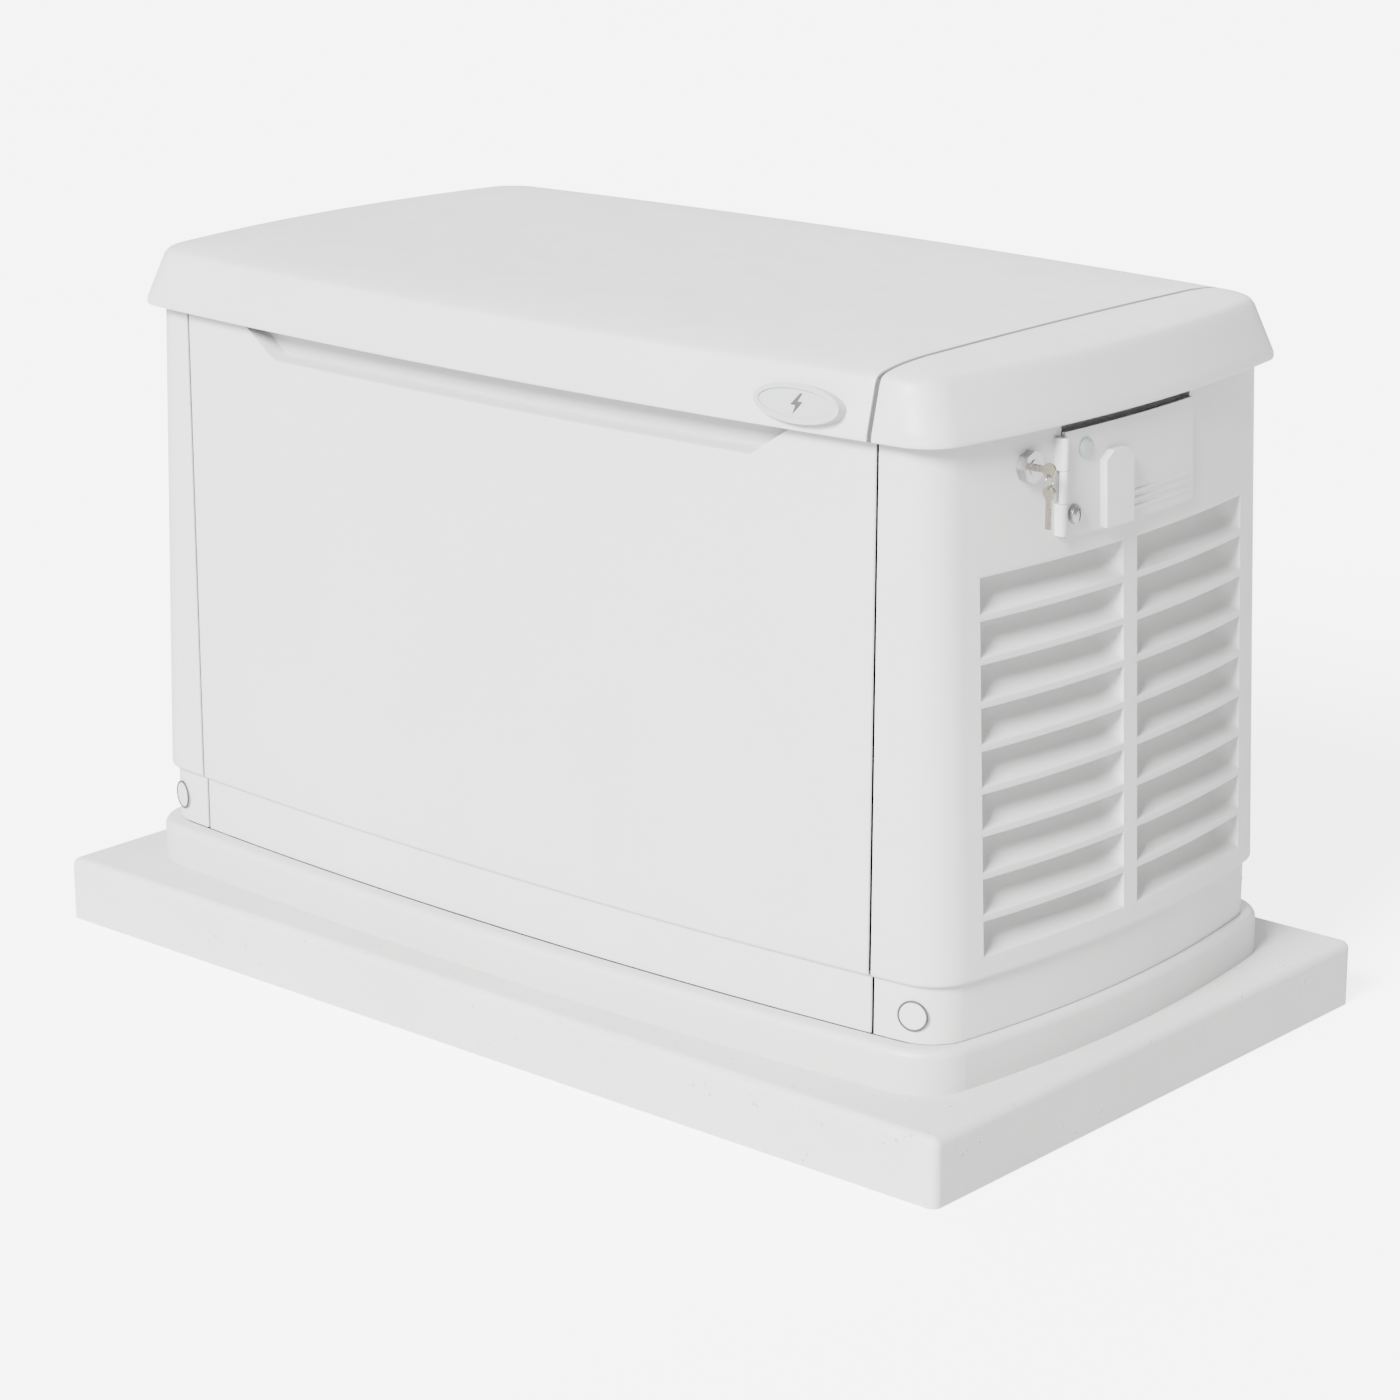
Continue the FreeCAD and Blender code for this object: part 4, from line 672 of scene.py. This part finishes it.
def ringRow(ring):
    # one closed row of points round the outline, without its last repeat
    arcs = ringArcs(ring[:3])
    alongFront, alongArc = between(0, 1, roof["frontSteps"]), between(0, 1, roof["arcSteps"])
    quarter = [outlinePoint(arcs, "front", 0, share)[0] for share in alongFront]
    quarter += [outlinePoint(arcs, "corner", 0, share)[0] for share in alongArc[1:]]
    quarter += [outlinePoint(arcs, "end", 0, share)[0] for share in reversed(alongArc[:-1])]
    right = quarter + [Vector((point.x, -point.y)) for point in reversed(quarter[:-1])]
    left = [Vector((-point.x, point.y)) for point in reversed(right[1:-1])]
    return right + left


def roofShell():
    rings = roofRings()
    rows = [ringRow(ring) for ring in rings]
    count = len(rows[0])
    draft = bmesh.new()
    bmesh.ops.create_grid(draft, x_segments=count, y_segments=len(rows) - 1, size=1)
    for vertex in draft.verts:
        column = round((vertex.co.x + 1) / 2 * count) % count
        row = round((vertex.co.y + 1) / 2 * (len(rows) - 1))
        spot = rows[row][column]
        vertex.co = (spot.x, spot.y, rings[row][3])
    bmesh.ops.remove_doubles(draft, verts=draft.verts, dist=1e-5)
    top = [edge for edge in draft.edges if edge.is_boundary and edge.verts[0].co.z > roof["shoulder"]]
    bmesh.ops.holes_fill(draft, edges=top, sides=0)
    bmesh.ops.recalc_face_normals(draft, faces=draft.faces)
    highest = max(draft.faces, key=lambda each: each.calc_center_median().z)
    if highest.normal.z < 0:
        bmesh.ops.reverse_faces(draft, faces=draft.faces)
    return draft


def roofPart(name, cutX, keepLeft, replaced):
    # one side of the lid, with its cut edges rounded
    draft = roofShell()
    everything = draft.verts[:] + draft.edges[:] + draft.faces[:]
    bmesh.ops.bisect_plane(draft, geom=everything, plane_co=(cutX, 0, 0), plane_no=(1, 0, 0),
                           clear_outer=keepLeft, clear_inner=not keepLeft)
    mesh = thickened(meshFrom(draft, name), roof["wall"])
    draft = bmesh.new()
    draft.from_mesh(mesh)
    crease = math.radians(roof["cutCrease"])
    rim = [edge for edge in draft.edges if edge.is_manifold and edge.calc_face_angle(0) > crease
           and all(abs(vertex.co.x - cutX) < 0.0005 for vertex in edge.verts)]
    bmesh.ops.bevel(draft, geom=rim, offset=roof["cutRound"], offset_type="OFFSET", segments=2, profile=0.5,
                    affect="EDGES", material=-1, clamp_overlap=True)
    draft.to_mesh(mesh)
    draft.free()
    makePiece(name, mesh, "housing", "roof", replaced)


roofPart("roofPanelShell", roof["cutLeft"], True, "roof_panel")
roofPart("roofEndShell", roof["cutRight"], False, "roof_end_cap")
print("roof made")


# A plain bolt sign in the badge's oval field

badge = {"place": (0.423, -0.318, 0.779), "lean": math.atan2(0.0125, 0.057), "low": 0.0062, "high": 0.0078,
         "edge": 0.0004,
         "bolt": ((0.0030, 0.0105), (-0.0075, -0.0018), (-0.0008, -0.0018), (-0.0030, -0.0105),
                  (0.0075, 0.0022), (0.0010, 0.0022), (0.0058, 0.0105))}
draft = bmesh.new()
sign = draft.faces.new([draft.verts.new((x, y, badge["low"])) for x, y in badge["bolt"]])
raised = bmesh.ops.extrude_face_region(draft, geom=[sign])
bmesh.ops.translate(draft, vec=(0, 0, badge["high"] - badge["low"]),
                    verts=[item for item in raised["geom"] if isinstance(item, bmesh.types.BMVert)])
bmesh.ops.recalc_face_normals(draft, faces=draft.faces)
upper = [edge for edge in draft.edges if all(vertex.co.z > badge["high"] - 1e-5 for vertex in edge.verts)]
bmesh.ops.bevel(draft, geom=upper, offset=badge["edge"], offset_type="OFFSET", segments=2, profile=0.5,
                affect="EDGES", material=-1, clamp_overlap=True)
upright = Matrix.Rotation(math.pi / 2 - badge["lean"], 4, "X")
bmesh.ops.transform(draft, verts=draft.verts, matrix=Matrix.Translation(badge["place"]) @ upright)
makePiece("badgeBolt", meshFrom(draft, "badgeBolt"), "gasket", "roof")
print("badge sign made")


# Black rubber rings round the faces of the four lifting hole plugs, partly the plugs' rubber lips and partly
# painted shade for the shadow in the thin gap round each plug

plugShadowRing = {"radius": 0.0157, "wire": 0.0012, "rise": 0.0028, "corner": (0.5385, 0.2394), "arc": 0.052,
           "height": 0.155, "turn": math.radians(72), "steps": 48}


def addShadowRing(draft, xSign, ySign):
    # a small circle spun round the plug's axis, which points out of the housing's corner
    outward = Vector((xSign * math.cos(plugShadowRing["turn"]), ySign * math.sin(plugShadowRing["turn"]), 0))
    middle = Vector((xSign * plugShadowRing["corner"][0], ySign * plugShadowRing["corner"][1], plugShadowRing["height"]))
    middle += outward * (plugShadowRing["arc"] + plugShadowRing["rise"])
    start = middle + Vector((0, 0, plugShadowRing["radius"]))
    facing = Matrix((outward, (0, 0, 1), outward.cross(Vector((0, 0, 1))))).transposed().to_4x4()
    section = bmesh.ops.create_circle(draft, segments=10, radius=plugShadowRing["wire"],
                                      matrix=Matrix.Translation(start) @ facing)["verts"]
    rim = list(dict.fromkeys(edge for vertex in section for edge in vertex.link_edges))
    bmesh.ops.spin(draft, geom=section + rim, cent=middle, axis=outward, angle=2 * math.pi,
                   steps=plugShadowRing["steps"], use_merge=True)


draft = bmesh.new()
for xSign, ySign in ((-1, -1), (-1, 1), (1, -1), (1, 1)):
    addShadowRing(draft, xSign, ySign)
bmesh.ops.remove_doubles(draft, verts=draft.verts, dist=1e-6)
bmesh.ops.recalc_face_normals(draft, faces=draft.faces)
# the black finish on these rings is partly painted shade for the thin gaps round the plugs
makePiece("plugShadowRings", meshFrom(draft, "plugShadowRings"), "gasket", "root")
print("plug shadow rings made")


# Camera, lights, world and floor

view = {"place": (2.876, -3.279, 1.626), "azimuth": math.radians(41.13), "elevation": math.radians(16.71),
        "lens": 101.7, "sensor": 36, "reach": 200}
# a lamp is where its light comes from, its strength and its spread in degrees
studio = {"sky": 0.6, "key": ((0.10, -0.81, 0.57), 16, 22), "rear": ((-0.5, 0.8, 0.6), 2, 50),
          "floorHalf": 60, "floorDark": 0.78, "floorLight": 0.80, "floorGlow": 4.0}

camera = bpy.data.objects.new("camera", bpy.data.cameras.new("camera"))
scene.collection.objects.link(camera)
camera.data.lens = view["lens"]
camera.data.sensor_width = view["sensor"]
camera.data.clip_end = view["reach"]
backward = Vector((math.sin(view["azimuth"]) * math.cos(view["elevation"]),
                   -math.cos(view["azimuth"]) * math.cos(view["elevation"]), math.sin(view["elevation"])))
rightward = Vector((0, 0, 1)).cross(backward).normalized()
upward = backward.cross(rightward)
camera.matrix_world = Matrix((rightward, upward, backward)).transposed().to_4x4()
camera.matrix_world.translation = Vector(view["place"])
scene.camera = camera

world = bpy.data.worlds.new("studio")
world.use_nodes = True
world.node_tree.nodes["Background"].inputs["Color"].default_value = (1.0, 1.0, 1.0, 1)
world.node_tree.nodes["Background"].inputs["Strength"].default_value = studio["sky"]
scene.world = world


def softSun(name, towards, strength, spread):
    # a wide, even lamp far away: towards is where its light comes from
    lamp = bpy.data.objects.new(name, bpy.data.lights.new(name, "SUN"))
    lamp.data.energy = strength
    lamp.data.angle = math.radians(spread)
    scene.collection.objects.link(lamp)
    lamp.rotation_euler = (-Vector(towards)).to_track_quat("-Z", "Y").to_euler()


softSun("keyLamp", *studio["key"])
softSun("rearLamp", *studio["rear"])

draft = bmesh.new()
bmesh.ops.create_grid(draft, x_segments=4, y_segments=4, size=studio["floorHalf"])
floorMesh = meshFrom(draft, "studioFloor")
floorPiece = bpy.data.objects.new("studioFloor", floorMesh)
scene.collection.objects.link(floorPiece)
floorPaint, floorTree, floorShader, floorPlace = startMaterial("paleFloor")
tone = rampNode(floorTree, noiseNode(floorTree, floorPlace, 0.6, detail=3), 0.3, 0.7,
                (studio["floorDark"],) * 3, (studio["floorLight"],) * 3)
floorTree.links.new(tone, floorShader.inputs["Base Color"])
floorShader.inputs["Roughness"].default_value = 0.9
# the floor glows for the camera only, so it stays pale without lighting the part from below
seen = floorTree.nodes.new("ShaderNodeLightPath").outputs["Is Camera Ray"]
glow = mathNode(floorTree, "MULTIPLY", seen, studio["floorGlow"])
floorTree.links.new(glow, floorShader.inputs["Emission Strength"])
floorShader.inputs["Emission Color"].default_value = (1.0, 1.0, 1.0, 1)
floorMesh.materials.append(floorPaint)
print("camera, lights and floor made")
